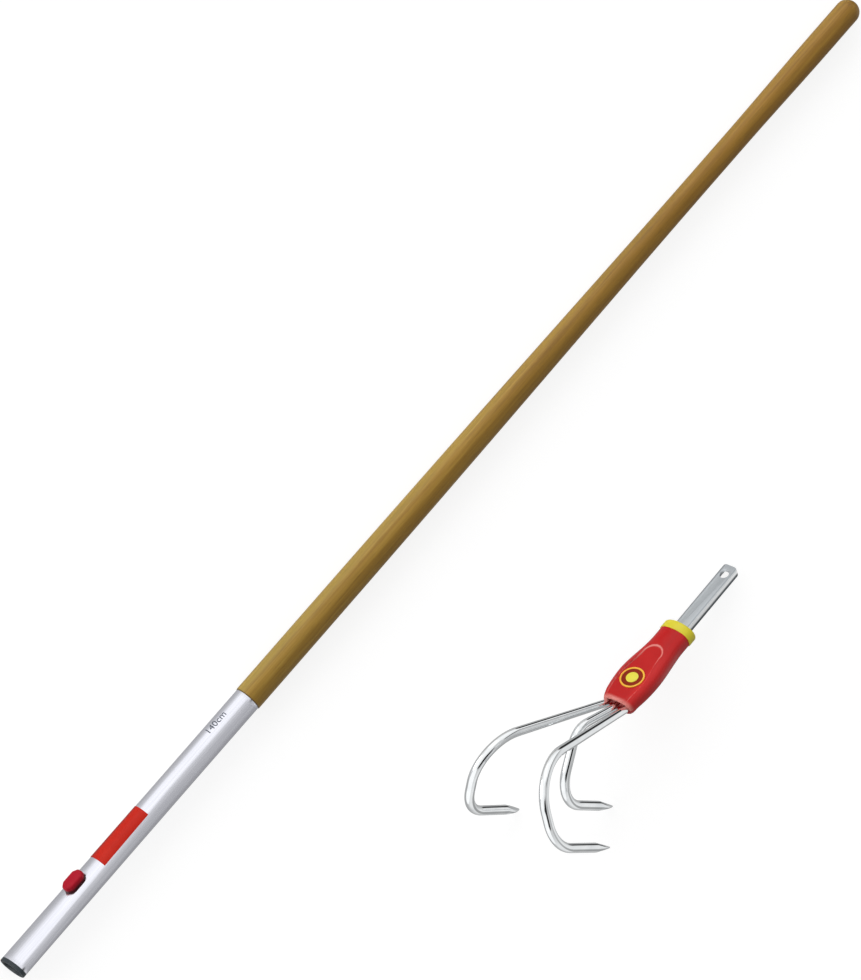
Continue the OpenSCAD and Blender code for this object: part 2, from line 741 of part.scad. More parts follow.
module tang() {
    half_w = tang_w / 2;
    shoulder = tang_end - tang_corner_r;
    color("#b4b9bc")
        lay_head()
            difference() {
                union() {
                    translate([0, 0, tang_top - tang_sheet])
                        linear_extrude(height = tang_sheet) {
                            translate([tang_from, -half_w])
                                square([shoulder - tang_from, tang_w]);
                            translate([tang_from, -half_w + tang_corner_r])
                                square([tang_end - tang_from, tang_w - 2 * tang_corner_r]);
                            for (side = [-1, 1])
                                translate([shoulder, side * (half_w - tang_corner_r)])
                                    circle(r = tang_corner_r);
                        }
                    for (side = [0, 1])
                        mirror([0, side, 0])
                            span([tang_from, half_w - tang_sheet, tang_bottom],
                                [shoulder, half_w, tang_top - tang_sheet]);
                }
                translate([hole_at, 0, tang_bottom - over])
                    cylinder(d = hole_d, h = tang_h + 2 * over);
                carrier_rivet_shanks(carrier_rivet_d + 2 * pin_gap, over);
            }
}

// Holes and shanks of the rivets that join the tang to the carrier's tongue
module carrier_rivet_shanks(d, past) {
    for (k = [1, 3])
        translate([carrier_to + tongue_len * k / 4, 0, tongue_top - tongue_t - past])
            cylinder(d = d, h = tongue_t + tang_sheet + 2 * past);
}

// The room that the tang takes inside the mouldings round it
module tang_room(from, to) {
    half_w = tang_w / 2 + mould_gap;
    span([from, -half_w, tang_bottom - mould_gap], [to, half_w, tang_top + mould_gap]);
}

module oval(w, h) {
    scale_h = h / w;
    polygon([for (i = [0:oval_sides - 1]) let (t = 360 * i / oval_sides) [w / 2 * cos(t), w / 2 * scale_h * sin(t)]]);
}

module collar_ring() {
    color("#e0d62f")
        lay_head()
            difference() {
                translate([sleeve_len, 0, 0])
                    rotate([90, 0, 90])
                        linear_extrude(height = collar_len)
                            oval(collar_w, collar_h);
                tang_room(sleeve_len - over, collar_top + over);
            }
}

module grip_sleeve() {
    arch_x = [for (k = [0:arch_steps]) arch_from * k / arch_steps];
    round_x = [for (k = [1:arch_steps]) arch_from + arch_len * sin(90 * k / arch_steps)];
    edge = [for (x = [each arch_x, each round_x]) [x, panel_half_w(x)]];
    lip_t = [for (k = [0:lip_steps - 1]) mouth_round_len / sleeve_len * k / lip_steps];
    body_t = [for (k = [0:sleeve_steps]) let (lip = mouth_round_len / sleeve_len) lip + (1 - lip) * k / sleeve_steps];
    mirrored = [for (k = [len(edge) - 2:-1:0]) [edge[k][0], -edge[k][1]]];
    carrier_y = carrier_w / 2 + mould_gap;
    carrier_z = carrier_h / 2 + mould_gap;
    color("#c8201e")
        lay_head()
            difference() {
                skin([for (t = [each lip_t, each body_t]) sleeve_ring(t)]);
                translate([0, 0, panel_z])
                    linear_extrude(height = belly_h)
                        polygon([each edge, each mirrored]);
                skin([for (x = [-over, recess_len]) oval_ring(x, recess_w / 2, recess_h / 2)]);
                span([carrier_from - mould_gap, -carrier_y, -carrier_z], [carrier_to, carrier_y, carrier_z]);
                tang_room(carrier_to - mould_gap, sleeve_len + over);
                for (k = [-1:1])
                    translate([recess_len - over, k * shank_pitch, 0])
                        rotate([0, 90, 0])
                            cylinder(d = tine_root_d + 2 * mould_gap, h = carrier_from - recess_len + over);
            }
}

module sleeve_badge() {
    color("#e0d62f")
        lay_head()
            translate([badge_at, 0, panel_z]) {
                linear_extrude(height = badge_t)
                    oval(badge_len, badge_w);
                linear_extrude(height = badge_t + badge_rim_h) {
                    difference() {
                        oval(badge_len, badge_w);
                        oval(badge_len - 2 * badge_rim_w, badge_w - 2 * badge_rim_w);
                    }
                    oval(badge_len * badge_eye_share, badge_w * badge_eye_share);
                }
            }
}

module tine_carrier() {
    color("#7d8287")
        lay_head()
            difference() {
                union() {
                    span([carrier_from, -carrier_w / 2, -carrier_h / 2], [carrier_to, carrier_w / 2, carrier_h / 2]);
                    span([carrier_to - over, -tongue_w / 2, tongue_top - tongue_t],
                        [tongue_to, tongue_w / 2, tongue_top]);
                }
                for (k = [-1:1])
                    translate([carrier_from - over, k * shank_pitch, 0])
                        rotate([0, 90, 0])
                            cylinder(d = tine_root_d + 2 * pin_gap, h = carrier_len + 2 * over);
                carrier_rivet_shanks(carrier_rivet_d + 2 * pin_gap, over);
            }
}

module carrier_rivets() {
    color("#9a9ea3")
        lay_head() {
            carrier_rivet_shanks(carrier_rivet_d, 0);
            for (k = [1, 3])
                translate([carrier_to + tongue_len * k / 4, 0, tongue_top - tongue_t - carrier_rivet_head_h])
                    cylinder(d = carrier_rivet_head_d, h = carrier_rivet_head_h);
        }
}

module tine_left() {
    color("#d5d9dc")
        lay_head()
            skin(left_rings);
}

module tine_centre() {
    color("#d5d9dc")
        lay_head()
            skin(middle_rings);
}

module tine_right() {
    color("#d5d9dc")
        lay_head()
            skin(right_rings);
}

ash_pole();
ferrule();
ferrule_rivets();
label_plate();
socket_liner();
latch_housing();
latch_spring();
latch_button();
latch_foot();
latch_peg();
tang();
collar_ring();
grip_sleeve();
sleeve_badge();
tine_carrier();
carrier_rivets();
tine_left();
tine_centre();
tine_right();
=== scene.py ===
import json
import math

import bmesh
import bpy
from mathutils import Matrix, Vector


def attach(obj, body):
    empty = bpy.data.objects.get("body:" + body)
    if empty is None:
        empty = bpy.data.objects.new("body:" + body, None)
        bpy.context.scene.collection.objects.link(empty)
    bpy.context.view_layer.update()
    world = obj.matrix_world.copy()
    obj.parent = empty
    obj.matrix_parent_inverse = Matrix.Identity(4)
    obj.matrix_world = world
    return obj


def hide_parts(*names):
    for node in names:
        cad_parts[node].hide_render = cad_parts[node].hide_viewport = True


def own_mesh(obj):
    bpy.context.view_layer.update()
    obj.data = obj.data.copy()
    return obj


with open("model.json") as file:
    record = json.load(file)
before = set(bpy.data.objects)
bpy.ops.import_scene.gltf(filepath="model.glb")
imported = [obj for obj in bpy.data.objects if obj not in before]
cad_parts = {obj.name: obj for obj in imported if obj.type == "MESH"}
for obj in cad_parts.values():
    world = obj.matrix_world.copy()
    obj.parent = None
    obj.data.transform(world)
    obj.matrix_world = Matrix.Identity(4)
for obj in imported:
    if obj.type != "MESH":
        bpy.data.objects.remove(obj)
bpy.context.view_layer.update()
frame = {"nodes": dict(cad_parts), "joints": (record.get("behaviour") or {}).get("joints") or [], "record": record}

# Sizes are in millimetres, in the handle's or the head's own frame. Turns and angles are in degrees.
MM = 0.001

# Handle, from the mouth of its socket
HANDLE_LEN = 1400.0
FERRULE_FROM, FERRULE_TO = 4.5, 387.0
FERRULE_R, FERRULE_WALL = 15.0, 1.6
MOUTH_W, MOUTH_H, OVAL_LEN = 36.8, 24.4, 255.0
POLE_ROOT_R, POLE_WAIST_R, POLE_KNOB_R = 15.8, 12.4, 13.6
WAIST_FROM, WAIST_TO, KNOB_FROM = 1150.0, 1200.0, 1345.0
POLE_TAPER, POLE_SHOULDER = 1.5, 1.6
SPIGOT_LEN, SPIGOT_R = 108.0, 13.2
RIVET_FROM, RIVET_PITCH, RIVET_COUNT, RIVET_HEAD_R, RIVET_HEAD_H = 308.0, 50.0, 2, 4.5, 1.4
LABEL_FROM, LABEL_TO, LABEL_HALF_ANGLE = 147.25, 219.75, 48.75
# LABEL_DEEP_FROM and LABEL_DEEP_TO bound the painted shade that darkens one side of the label
LABEL_GLUE, LABEL_T, LABEL_DEEP_FROM, LABEL_DEEP_TO = 0.1, 0.3, 2.0, 13.0
MARK_TEXT, MARK_AT, MARK_TURN = "140cm", 343.0, 99.0
MARK_SIZE, MARK_T = 11.2, 0.1

# Way across the handle to the side of the pole that gets a painted highlight; the far side gets painted shade
LIT_SIDE_WAY = (0.0, 0.815, 0.579)

# Socket liner and push button
LINER_LEN, LINER_GAP = 60.0, 0.2
LEAD_W, LEAD_H, LEAD_LEN = 29.0, 17.0, 16.0
CHANNEL_W, CHANNEL_H, CHANNEL_FULLNESS = 19.7, 9.1, 12.0
BUTTON_AT, BUTTON_LEN, BUTTON_W = 113.0, 27.0, 16.0
BUTTON_END_LEN, BUTTON_END_W = 5.5, 4.5
BUTTON_TOP, BUTTON_BEVEL, BUTTON_GAP, BUTTON_CORNER = 21.9408, 3.0, 0.15, 1.5
BUTTON_CROWN, CROWN_RINGS = 0.3, ((0.1, 3.8), (0.0, 4.8))
# BUTTON_DEEP_FROM and BUTTON_DEEP_TO, below the button's top, bound the painted shade on its lower sides
BUTTON_DEEP_FROM, BUTTON_DEEP_TO = 4.0, 7.5
LIP_LEN, LIP_W, LIP_TOP, LIP_BOTTOM = 30.0, 19.0, 8.6731, 6.6731
STEM_LEN, STEM_W, STEM_BOTTOM = 25.0, 12.0, -0.6408
LEG_LEN, LEG_BOTTOM = 8.333, -3.9
SPRING_FLOOR, SPRING_TOP = -10.0408, -1.0408
SPRING_AT, SPRING_R, SPRING_WIRE_R, SPRING_TURNS = 117.167, 4.05, 0.45, 4.0

# Head, from the mouth of its sleeve towards the tang
SLEEVE_LEN, COLLAR_LEN, TANG_OUT = 107.0, 11.5, 94.5
NECK_W, BELLY_W, SLEEVE_MOUTH_W = 37.0, 49.0, 38.0
NECK_H, BELLY_H, SLEEVE_MOUTH_H = 26.0, 27.0, 23.0
SLEEVE_FULLNESS, BELLY_SHARE, NECK_SHARE = 2.5, 0.375, 0.9
# LIP_PALE_LEN is how far in from the mouth the lip's painted highlight reaches
LIP_ROUND_LEN, LIP_ROUND_SIDE, LIP_ROUND_TOP, LIP_PALE_LEN = 5.0, 1.5, 3.4, 5.0
SLEEVE_LIFT, LIFT_FULL, LIFT_FALL, LIFT_GONE = 2.0, 0.11, 0.3, 0.8
RECESS_W, RECESS_H, RECESS_LEN, RECESS_FULLNESS = 33.0, 15.0, 9.0, 2.2
PANEL_Z, PANEL_LEN, PANEL_ARCH_W = 11.7, 82.0, 24.0
PANEL_BELLY_SHARE, PANEL_ARCH_SHARE = 0.7, 0.16
RIM_OUT, RIM_SIDE_W, RIM_ARCH_W, RIM_ARCH_FROM = 0.3, 1.2, 2.6, 0.75
RIM_DEPTH, RIM_PAST = 1.5, 3.0
# Strength of the painted highlight on the mouth's lip and on the panel's rim, at its sides and at its arch
LIP_PALE, RIM_SIDE_PALE, RIM_ARCH_PALE = 0.65, 0.3, 0.75
# FLANK_FROM and FLANK_TO, across the head, bound the painted light that brightens the sleeve's flank
FLANK_FROM, FLANK_TO = -8, -19
BADGE_AT, BADGE_LEN, BADGE_W, BADGE_RIM_W, BADGE_T = 32.5, 28.0, 28.0, 2.0, 0.8
BADGE_RIM_H, BADGE_EYE_SHARE = 0.4, 0.5
COLLAR_W, COLLAR_H, COLLAR_FOOT_R, COLLAR_TOP_R = 41.0, 28.5, 0.8, 2.6
COLLAR_UNDER, COLLAR_HOLE_FULLNESS = 3.0, 10.0
TANG_FROM, TANG_W, TANG_H, TANG_SHEET = 48.1, 19.0, 8.4, 2.0
TANG_CORNER_R, TANG_FOLD_R, HOLE_R, HOLE_FROM_END = 5.0, 2.6, 5.25, 13.0
COLLAR_TOP = SLEEVE_LEN + COLLAR_LEN
TANG_END = COLLAR_TOP + TANG_OUT

# Tines: corners of their routes and the bend at each inner corner
SHANK_FROM, SHANK_PITCH, SHANK_BEND_R = 48.0, 11.6, 20.0
TINE_ROOT_D, TINE_HOOK_D, TINE_GROWTH = 8.8, 10.8, 0.5
POINT_LEN, POINT_END_T, POINT_END_W, POINT_SWELL = 26.0, 1.6, 2.4, 1.12
TINE_STEP, TINE_SIDES = 1.4, 40
OUTER_KNEE, OUTER_HOOK, OUTER_POINT = (-164.5, 37.5, 95.5), (-195.0, 60.5, 5.0), (-125.5, 62.0, -68.5)
OUTER_BENDS = (SHANK_BEND_R, 47.0, 48.5)
CENTRE_KNEE, CENTRE_HOOK, CENTRE_POINT = (-62.5, 0.0, 30.0), (-122.5, 0.0, -32.5), (-53.0, 0.0, -110.5)
CENTRE_BENDS = (SHANK_BEND_R, 22.5, 43.5)

# Where the two bodies lie
mounts = {m["name"]: m for m in frame["record"]["mounts"]}
press_axis = next(Vector(j["axis"]) for j in frame["joints"] if j["name"] == "button_press")


def seat(origin, along, normal):
    """Place of a frame with x along the piece and z out of its face."""
    x = Vector(along).normalized()
    z = Vector(normal).normalized()
    place = Matrix((x, z.cross(x), z)).transposed().to_4x4()
    place.translation = Vector(origin)
    return place


handle_place = seat(mounts["handle_socket"]["pos_m"], -Vector(mounts["handle_socket"]["axis"]), -press_axis)
tang_axis = Vector(mounts["head_tang"]["axis"])
head_place = seat(Vector(mounts["head_tang"]["pos_m"]) - tang_axis * COLLAR_TOP * MM, tang_axis,
                  mounts["tang_hole"]["axis"])


# ---- shapes

def ease(t):
    return t * t * (3 - 2 * t)


def mix(a, b, t):
    return a + (b - a) * t


def clamp(t):
    return min(1.0, max(0.0, t))


def angles(count):
    return [2 * math.pi * i / count for i in range(count)]


def quarter(steps, first=0):
    """Sine and cosine at each step of a quarter turn."""
    turns = [math.pi / 2 * k / steps for k in range(first, steps + 1)]
    return [(math.sin(w), math.cos(w)) for w in turns]


def oval(x, a, b, sides):
    """Ring of an ellipse across the axis at x."""
    return [(x, a * math.cos(t), b * math.sin(t)) for t in angles(sides)]


def squared_oval(x, a, b, fullness, sides):
    """Ring of a fuller oval, where a fullness of 2 is an ellipse."""
    def full(c):
        return math.copysign(abs(c) ** (2 / fullness), c)
    return [(x, a * full(math.cos(t)), b * full(math.sin(t))) for t in angles(sides)]


def skin(rings, endless=False):
    """Points and faces over rings of equal count; endless joins the last ring to the first."""
    n, m = len(rings[0]), len(rings)
    points = [p for ring in rings for p in ring]
    faces = []
    for k in range(m if endless else m - 1):
        low, high = k * n, (k + 1) % m * n
        for i in range(n):
            j = (i + 1) % n
            faces.append((low + i, low + j, high + j, high + i))
    if not endless:
        faces.append(tuple(reversed(range(n))))
        faces.append(tuple((m - 1) * n + i for i in range(n)))
    return points, faces


def join(*shapes):
    """Several closed shapes as one list of points and faces."""
    points, faces = [], []
    for more_points, more_faces in shapes:
        start = len(points)
        points += more_points
        faces += [tuple(start + i for i in face) for face in more_faces]
    return points, faces


def block(low, high):
    """A box between two corners."""
    ring = [(low[1], low[2]), (high[1], low[2]), (high[1], high[2]), (low[1], high[2])]
    return skin([[(x, y, z) for y, z in ring] for x in (low[0], high[0])])


def make(name, shape, place):
    """A mesh object in the shared frame from a shape in a body's frame."""
    points, faces = shape
    mesh = bpy.data.meshes.new(name)
    mesh.from_pydata([place @ (Vector(p) * MM) for p in points], [], faces)
    tidy_normals(mesh)
    return put(name, mesh)


def put(name, mesh):
    obj = bpy.data.objects.new(name, mesh)
    bpy.context.scene.collection.objects.link(obj)
    return obj


def tidy_normals(mesh):
    work = bmesh.new()
    work.from_mesh(mesh)
    bmesh.ops.remove_doubles(work, verts=work.verts, dist=1e-7)
    bmesh.ops.recalc_face_normals(work, faces=work.faces)
    work.to_mesh(mesh)
    work.free()


def plain_mesh(obj):
    """A mesh of the object as its modifiers or its text leave it."""
    bpy.context.view_layer.update()
    return bpy.data.meshes.new_from_object(obj.evaluated_get(bpy.context.evaluated_depsgraph_get()))


def settle(obj):
    """The object's modifiers become part of its mesh."""
    mesh = plain_mesh(obj)
    mesh.name = obj.name
    obj.modifiers.clear()
    obj.data = mesh


def carve(obj, tool, how):
    """Cuts the tool out of the object, or keeps what the two share."""
    cut = obj.modifiers.new("carve", "BOOLEAN")
    cut.operation = how
    cut.solver = "EXACT"
    cut.object = tool
    settle(obj)
    bpy.data.objects.remove(tool)


def break_edges(obj, width, limit):
    """Small rounding on every hard edge."""
    bevel = obj.modifiers.new("edges", "BEVEL")
    bevel.width = width * MM
    bevel.segments = 2
    bevel.limit_method = "ANGLE"
    bevel.angle_limit = math.radians(limit)
    bevel.use_clamp_overlap = True
    settle(obj)


def dress(obj, body, finish, nodes=(), crease=38.0):
    """Gives a finished mesh its surface and its body, and hides the CAD nodes that it stands for."""
    mesh = obj.data
    mesh.materials.clear()
    mesh.materials.append(finish)
    mesh.polygons.foreach_set("material_index", [0] * len(mesh.polygons))
    mesh.polygons.foreach_set("use_smooth", [True] * len(mesh.polygons))
    mesh.set_sharp_from_angle(angle=math.radians(crease))
    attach(obj, body)
    if nodes:
        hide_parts(*nodes)
    return obj


# ---- node trees

def feed(tree, socket, value):
    if isinstance(value, bpy.types.NodeSocket):
        tree.links.new(value, socket)
    else:
        socket.default_value = value


def fill(tree, node, inputs):
    """Sets inputs by name, each to a value or another node's output."""
    for key, value in inputs.items():
        feed(tree, node.inputs[key], value)


def add(tree, kind, inputs=None, **settings):
    """A node with its settings and inputs."""
    made = tree.nodes.new(kind)
    for key, value in settings.items():
        setattr(made, key, value)
    fill(tree, made, inputs or {})
    return made


def node_out(tree, kind, inputs=None, **settings):
    """The first output of a new node."""
    return add(tree, kind, inputs, **settings).outputs[0]


def calc(tree, how, a, b=0.0):
    return node_out(tree, "ShaderNodeMath", {0: a, 1: b}, operation=how)


def vector(tree, how, a, b=(0.0, 0.0, 0.0)):
    made = add(tree, "ShaderNodeVectorMath", {0: a, 1: b}, operation=how)
    return made.outputs["Value" if how == "DOT_PRODUCT" else "Vector"]


def scaled(tree, a, factor):
    return node_out(tree, "ShaderNodeVectorMath", {0: a, "Scale": factor}, operation="SCALE")


def paint(code):
    """A colour code as linear light."""
    def linear(c):
        return c / 12.92 if c <= 0.04045 else ((c + 0.055) / 1.055) ** 2.4
    return tuple(linear(int(code[i:i + 2], 16) / 255) for i in (1, 3, 5)) + (1.0,)


def surface(name):
    finish = bpy.data.materials.new(name)
    finish.use_nodes = True
    return finish, finish.node_tree, finish.node_tree.nodes["Principled BSDF"]


def grain_coords(tree, place, stretch):
    """Object coordinates turned into a body's frame, with so many repeats to the metre along each way."""
    coords = add(tree, "ShaderNodeTexCoord").outputs["Object"]
    return node_out(tree, "ShaderNodeMapping", {
        "Vector": coords, "Location": place.translation, "Rotation": place.to_euler(),
        "Scale": tuple(1 / s for s in stretch)}, vector_type="TEXTURE")


def body_parts(tree, place):
    """Distances along the three ways of a body's frame, in metres."""
    return add(tree, "ShaderNodeSeparateXYZ", {0: grain_coords(tree, place, (1, 1, 1))}).outputs


def reopen(finish):
    """A finish's tree, its shader and the colour that it has so far."""
    tree = finish.node_tree
    shader = tree.nodes["Principled BSDF"]
    return tree, shader, shader.inputs["Base Color"].links[0].from_socket


def cloud(tree, place, stretch, detail, rough=0.55, warp=0.0):
    return node_out(tree, "ShaderNodeTexNoise", {
        "Vector": grain_coords(tree, place, stretch), "Scale": 1.0, "Detail": detail,
        "Roughness": rough, "Distortion": warp})


def ramp(tree, fac, stops):
    made = add(tree, "ShaderNodeValToRGB", {"Fac": fac})
    steps = made.color_ramp.elements
    while len(steps) < len(stops):
        steps.new(0.5)
    for step, (where, colour) in zip(steps, stops):
        step.position = where
        step.color = colour
    return made.outputs["Color"]


def two_tones(tree, fac, dark, light):
    return ramp(tree, fac, [(0.3, paint(dark)), (0.7, paint(light))])


def level(value):
    return (value, value, value, 1.0)


def blend_colours(tree, fac, a, b, how="MIX"):
    made = add(tree, "ShaderNodeMix", {"Factor": fac, 6: a, 7: b}, data_type="RGBA", blend_type=how)
    return made.outputs[2]


def remap(tree, value, low, high, to_low=0.0, to_high=1.0, curve="LINEAR"):
    return node_out(tree, "ShaderNodeMapRange", {
        "Value": value, "From Min": low, "From Max": high, "To Min": to_low, "To Max": to_high},
        interpolation_type=curve)


def bumped(tree, height, strength, depth):
    return node_out(tree, "ShaderNodeBump", {"Height": height, "Strength": strength, "Distance": depth * MM})


# ---- finishes

def turned_ash():
    finish, tree, shader = surface("turned_ash")
    streaks = cloud(tree, handle_place, (5, 240, 240), 5.0, 0.6, 0.4)
    broad = cloud(tree, handle_place, (1.6, 55, 55), 2.0)
    pores = cloud(tree, handle_place, (70, 2100, 2100), 2.0)
    lines = cloud(tree, handle_place, (26, 560, 560), 3.0, 0.6)
    grain = ramp(tree, streaks, [(0.28, paint("#856321")), (0.46, paint("#A27D2D")),
                                 (0.62, paint("#B18D38")), (0.78, paint("#C1A34D"))])
    along = add(tree, "ShaderNodeSeparateXYZ",
                {0: add(tree, "ShaderNodeTexCoord").outputs["Object"]}).outputs["X"]
    warm = remap(tree, along, -0.3, 0.45, 0.0, 0.62)
    toned = blend_colours(tree, warm, grain, blend_colours(tree, 1.0, grain, paint("#E8C9A0"), "MULTIPLY"))
    lined = blend_colours(tree, remap(tree, lines, 0.48, 0.7, 0.0, 0.45), toned, paint("#76591E"))
    patchy = blend_colours(tree, remap(tree, broad, 0.4, 0.7, 0.0, 0.3), lined, paint("#8A6A28"))
    # Painted light: one side of the pole is painted paler as a highlight, fading along the pole, and the far side
    # darker as shade
    section = grain_coords(tree, handle_place, (1, 1, 1))
    towards_lit_side = vector(tree, "DOT_PRODUCT", section, LIT_SIDE_WAY)
    painted_lit_side = calc(tree, "MULTIPLY", remap(tree, towards_lit_side, 2 * MM, 9 * MM, 0.0, 0.7, "SMOOTHSTEP"),
               remap(tree, along, -0.3, 0.5, 1.0, 0.35))
    painted_shade_side = remap(tree, towards_lit_side, 7 * MM, -2 * MM, 0.0, 0.28, "SMOOTHSTEP")
    banded = blend_colours(tree, painted_shade_side, patchy, paint("#82621A"))
    banded = blend_colours(tree, painted_lit_side, banded, blend_colours(tree, 0.6, patchy, paint("#AE9C54")))
    # Painted shadow: the wood is darkened in a narrow band where it meets the ferrule
    shoulder = add(tree, "ShaderNodeSeparateXYZ", {0: section}).outputs["X"]
    painted_gap_shadow = remap(tree, shoulder, (FERRULE_TO + 1.8) * MM, (FERRULE_TO + 0.4) * MM, 0.0, 0.75)
    banded = blend_colours(tree, painted_gap_shadow, banded, paint("#3E2C0E"))
    dashes = remap(tree, pores, 0.62, 0.7, 0.0, 0.35)
    fill(tree, shader, {
        "Base Color": blend_colours(tree, dashes, banded, paint("#5F4718")),
        "Roughness": remap(tree, streaks, 0.2, 0.8, 0.5, 0.36),
        "Normal": bumped(tree, calc(tree, "SUBTRACT", streaks, dashes), 0.25, 0.25),
        "Specular IOR Level": 0.3, "Coat Weight": 0.06, "Coat Roughness": 0.22})
    return finish


def drawn_metal(name, place, light, dark, smooth, rough, lines=(3, 900, 900)):
    """Metal with fine lines along the piece."""
    finish, tree, shader = surface(name)
    fine = cloud(tree, place, lines, 3.0, 0.6)
    broad = cloud(tree, place, (9, 60, 60), 3.0)
    tone = calc(tree, "ADD", calc(tree, "MULTIPLY", fine, 0.6), calc(tree, "MULTIPLY", broad, 0.4))
    fill(tree, shader, {
        "Base Color": two_tones(tree, tone, dark, light), "Metallic": 1.0,
        "Roughness": remap(tree, fine, 0.3, 0.7, smooth, rough), "Normal": bumped(tree, fine, 0.1, 0.05)})
    return finish


def bright_chrome():
    finish, tree, shader = surface("bright_chrome")
    smears = cloud(tree, head_place, (30, 45, 45), 5.0, 0.6, 0.6)
    fill(tree, shader, {
        "Base Color": two_tones(tree, smears, "#DDE0E2", "#EEF0F1"), "Metallic": 1.0,
        "Roughness": remap(tree, smears, 0.3, 0.75, 0.035, 0.085)})
    return finish


def moulded(name, place, light, dark, smooth, rough, gloss=0.5):
    """Moulded plastic with a fine skin and a faint drift of colour."""
    finish, tree, shader = surface(name)
    drift = cloud(tree, place, (26, 34, 34), 3.0)
    fine = cloud(tree, place, (1500, 1500, 1500), 2.0)
    fill(tree, shader, {
        "Base Color": two_tones(tree, drift, dark, light), "Specular IOR Level": gloss,
        "Roughness": remap(tree, drift, 0.3, 0.7, smooth, rough), "Normal": bumped(tree, fine, 0.12, 0.02)})
    return finish


def shaded(name, place, light, dark, way, low, high, deep):
    """Moulded plastic with painted shade: it turns to a deeper colour between two distances along one way of its
    body.
    """
    finish = moulded(name, place, light, dark, 0.4, 0.48, 0.12)
    tree, shader, plain = reopen(finish)
    fade = remap(tree, body_parts(tree, place)[way], low * MM, high * MM, curve="SMOOTHSTEP")
    feed(tree, shader.inputs["Base Color"], blend_colours(tree, fade, plain, paint(deep)))
    return finish


def rimmed_sleeve():
    """Red moulding with painted light: painted brighter on one flank, with a painted highlight along the rim of
    its panel and along its lip.
    """
    finish = moulded("red_moulding", head_place, "#BC1818", "#B21212", 0.2, 0.27, 0.2)
    tree, shader, plain = reopen(finish)
    # Painted highlight along the panel's rim and the mouth's lip, stored on each point of the sleeve
    rim = add(tree, "ShaderNodeAttribute", attribute_name="painted_rim_highlight").outputs["Fac"]
    # Painted light: the sleeve's red is painted brighter towards one flank
    outwards = remap(tree, body_parts(tree, head_place)["Y"], FLANK_FROM * MM, FLANK_TO * MM,
                     curve="SMOOTHSTEP")
    flank = blend_colours(tree, outwards, plain, paint("#CC2A2A"))
    feed(tree, shader.inputs["Base Color"], blend_colours(tree, rim, flank, paint("#F0A096")))
    return finish


def folded_sheet():
    """Satin sheet with painted light: a thin painted dark line at each side of its face, painted highlights on its
    sides and painted shade on their lower edges.
    """
    finish = drawn_metal("satin_nickel_sheet", head_place, "#C2C7CB", "#B3B8BC", 0.32, 0.42)
    tree, shader, plain = reopen(finish)
    parts = body_parts(tree, head_place)
    half = TANG_W / 2
    across = calc(tree, "ABSOLUTE", parts["Y"])
    # Painted highlight on the sheet's sides, painted shade on their lower edges and a thin painted dark line where
    # the face turns into them
    side = remap(tree, across, (half - 1.3) * MM, (half - 0.6) * MM)
    painted_fold_shade = calc(tree, "MULTIPLY", remap(tree, across, (half - 2.6) * MM, (half - 2.0) * MM, 0.0, 0.7),
                remap(tree, across, (half - 1.2) * MM, (half - 1.7) * MM))
    lower = remap(tree, parts["Z"], 0.6 * MM, -1.4 * MM)
    bright = blend_colours(tree, side, blend_colours(tree, painted_fold_shade, plain, paint("#7C8286")), paint("#F4F6F7"))
    feed(tree, shader.inputs["Base Color"],
         blend_colours(tree, calc(tree, "MULTIPLY", side, lower), bright, paint("#5A6064")))
    return finish


ash_finish = turned_ash()
ferrule_finish = drawn_metal("satin_drawn_tube", handle_place, "#E2E3EA", "#D2D3DC", 0.2, 0.27)
rivet_finish = drawn_metal("rivet_metal", handle_place, "#C9CBD0", "#B4B7BD", 0.28, 0.4, (60, 60, 60))
# Painted shade darkens the label towards one side
label_finish = shaded("red_label_film", handle_place, "#C82A1A", "#BE2214",
                      "Y", LABEL_DEEP_FROM, LABEL_DEEP_TO, "#86130C")
liner_finish = moulded("slate_moulding", handle_place, "#202C32", "#182126", 0.42, 0.55)
# Painted shade darkens the button's lower sides towards its base
button_finish = shaded("crimson_moulding", handle_place, "#AE162A", "#A21024",
                       "Z", BUTTON_TOP - BUTTON_DEEP_FROM, BUTTON_TOP - BUTTON_DEEP_TO, "#42050F")
latch_finish = drawn_metal("plated_latch_steel", handle_place, "#B4B8BC", "#A0A4A8", 0.3, 0.42)
spring_finish = drawn_metal("spring_wire", handle_place, "#9FA3A8", "#8A8E93", 0.25, 0.38)
ink_finish = moulded("mark_ink", handle_place, "#3E4654", "#343C4A", 0.5, 0.6)
tang_finish = folded_sheet()
carrier_finish = drawn_metal("plain_carrier_steel", head_place, "#8F9499", "#7B8085", 0.4, 0.5)
collar_finish = moulded("yellow_moulding", head_place, "#DED126", "#D2C41C", 0.3, 0.38)
sleeve_finish = rimmed_sleeve()
# Painted highlight: the bosses get a paler red than the sleeve's moulding around them
boss_finish = moulded("pale_red_moulding", head_place, "#D25A56", "#C44E4A", 0.25, 0.32)
field_finish = moulded("badge_field_red", head_place, "#90280F", "#82200A", 0.3, 0.4, 0.12)
badge_finish = moulded("badge_amber", head_place, "#F5BE3E", "#EBAE30", 0.3, 0.38, 0.3)
eye_finish = moulded("badge_yellow", head_place, "#E8DE42", "#DED234", 0.3, 0.38)
chrome_finish = bright_chrome()


# ---- handle

def pole_radius(x):
    if x < WAIST_FROM:
        down = ((x - FERRULE_TO) / (WAIST_FROM - FERRULE_TO)) ** POLE_TAPER
        return mix(POLE_ROOT_R, POLE_WAIST_R, ease(down))
    if x < WAIST_TO:
        return POLE_WAIST_R
    if x < KNOB_FROM:
        return mix(POLE_WAIST_R, POLE_KNOB_R, ease((x - WAIST_TO) / (KNOB_FROM - WAIST_TO)))
    return POLE_KNOB_R


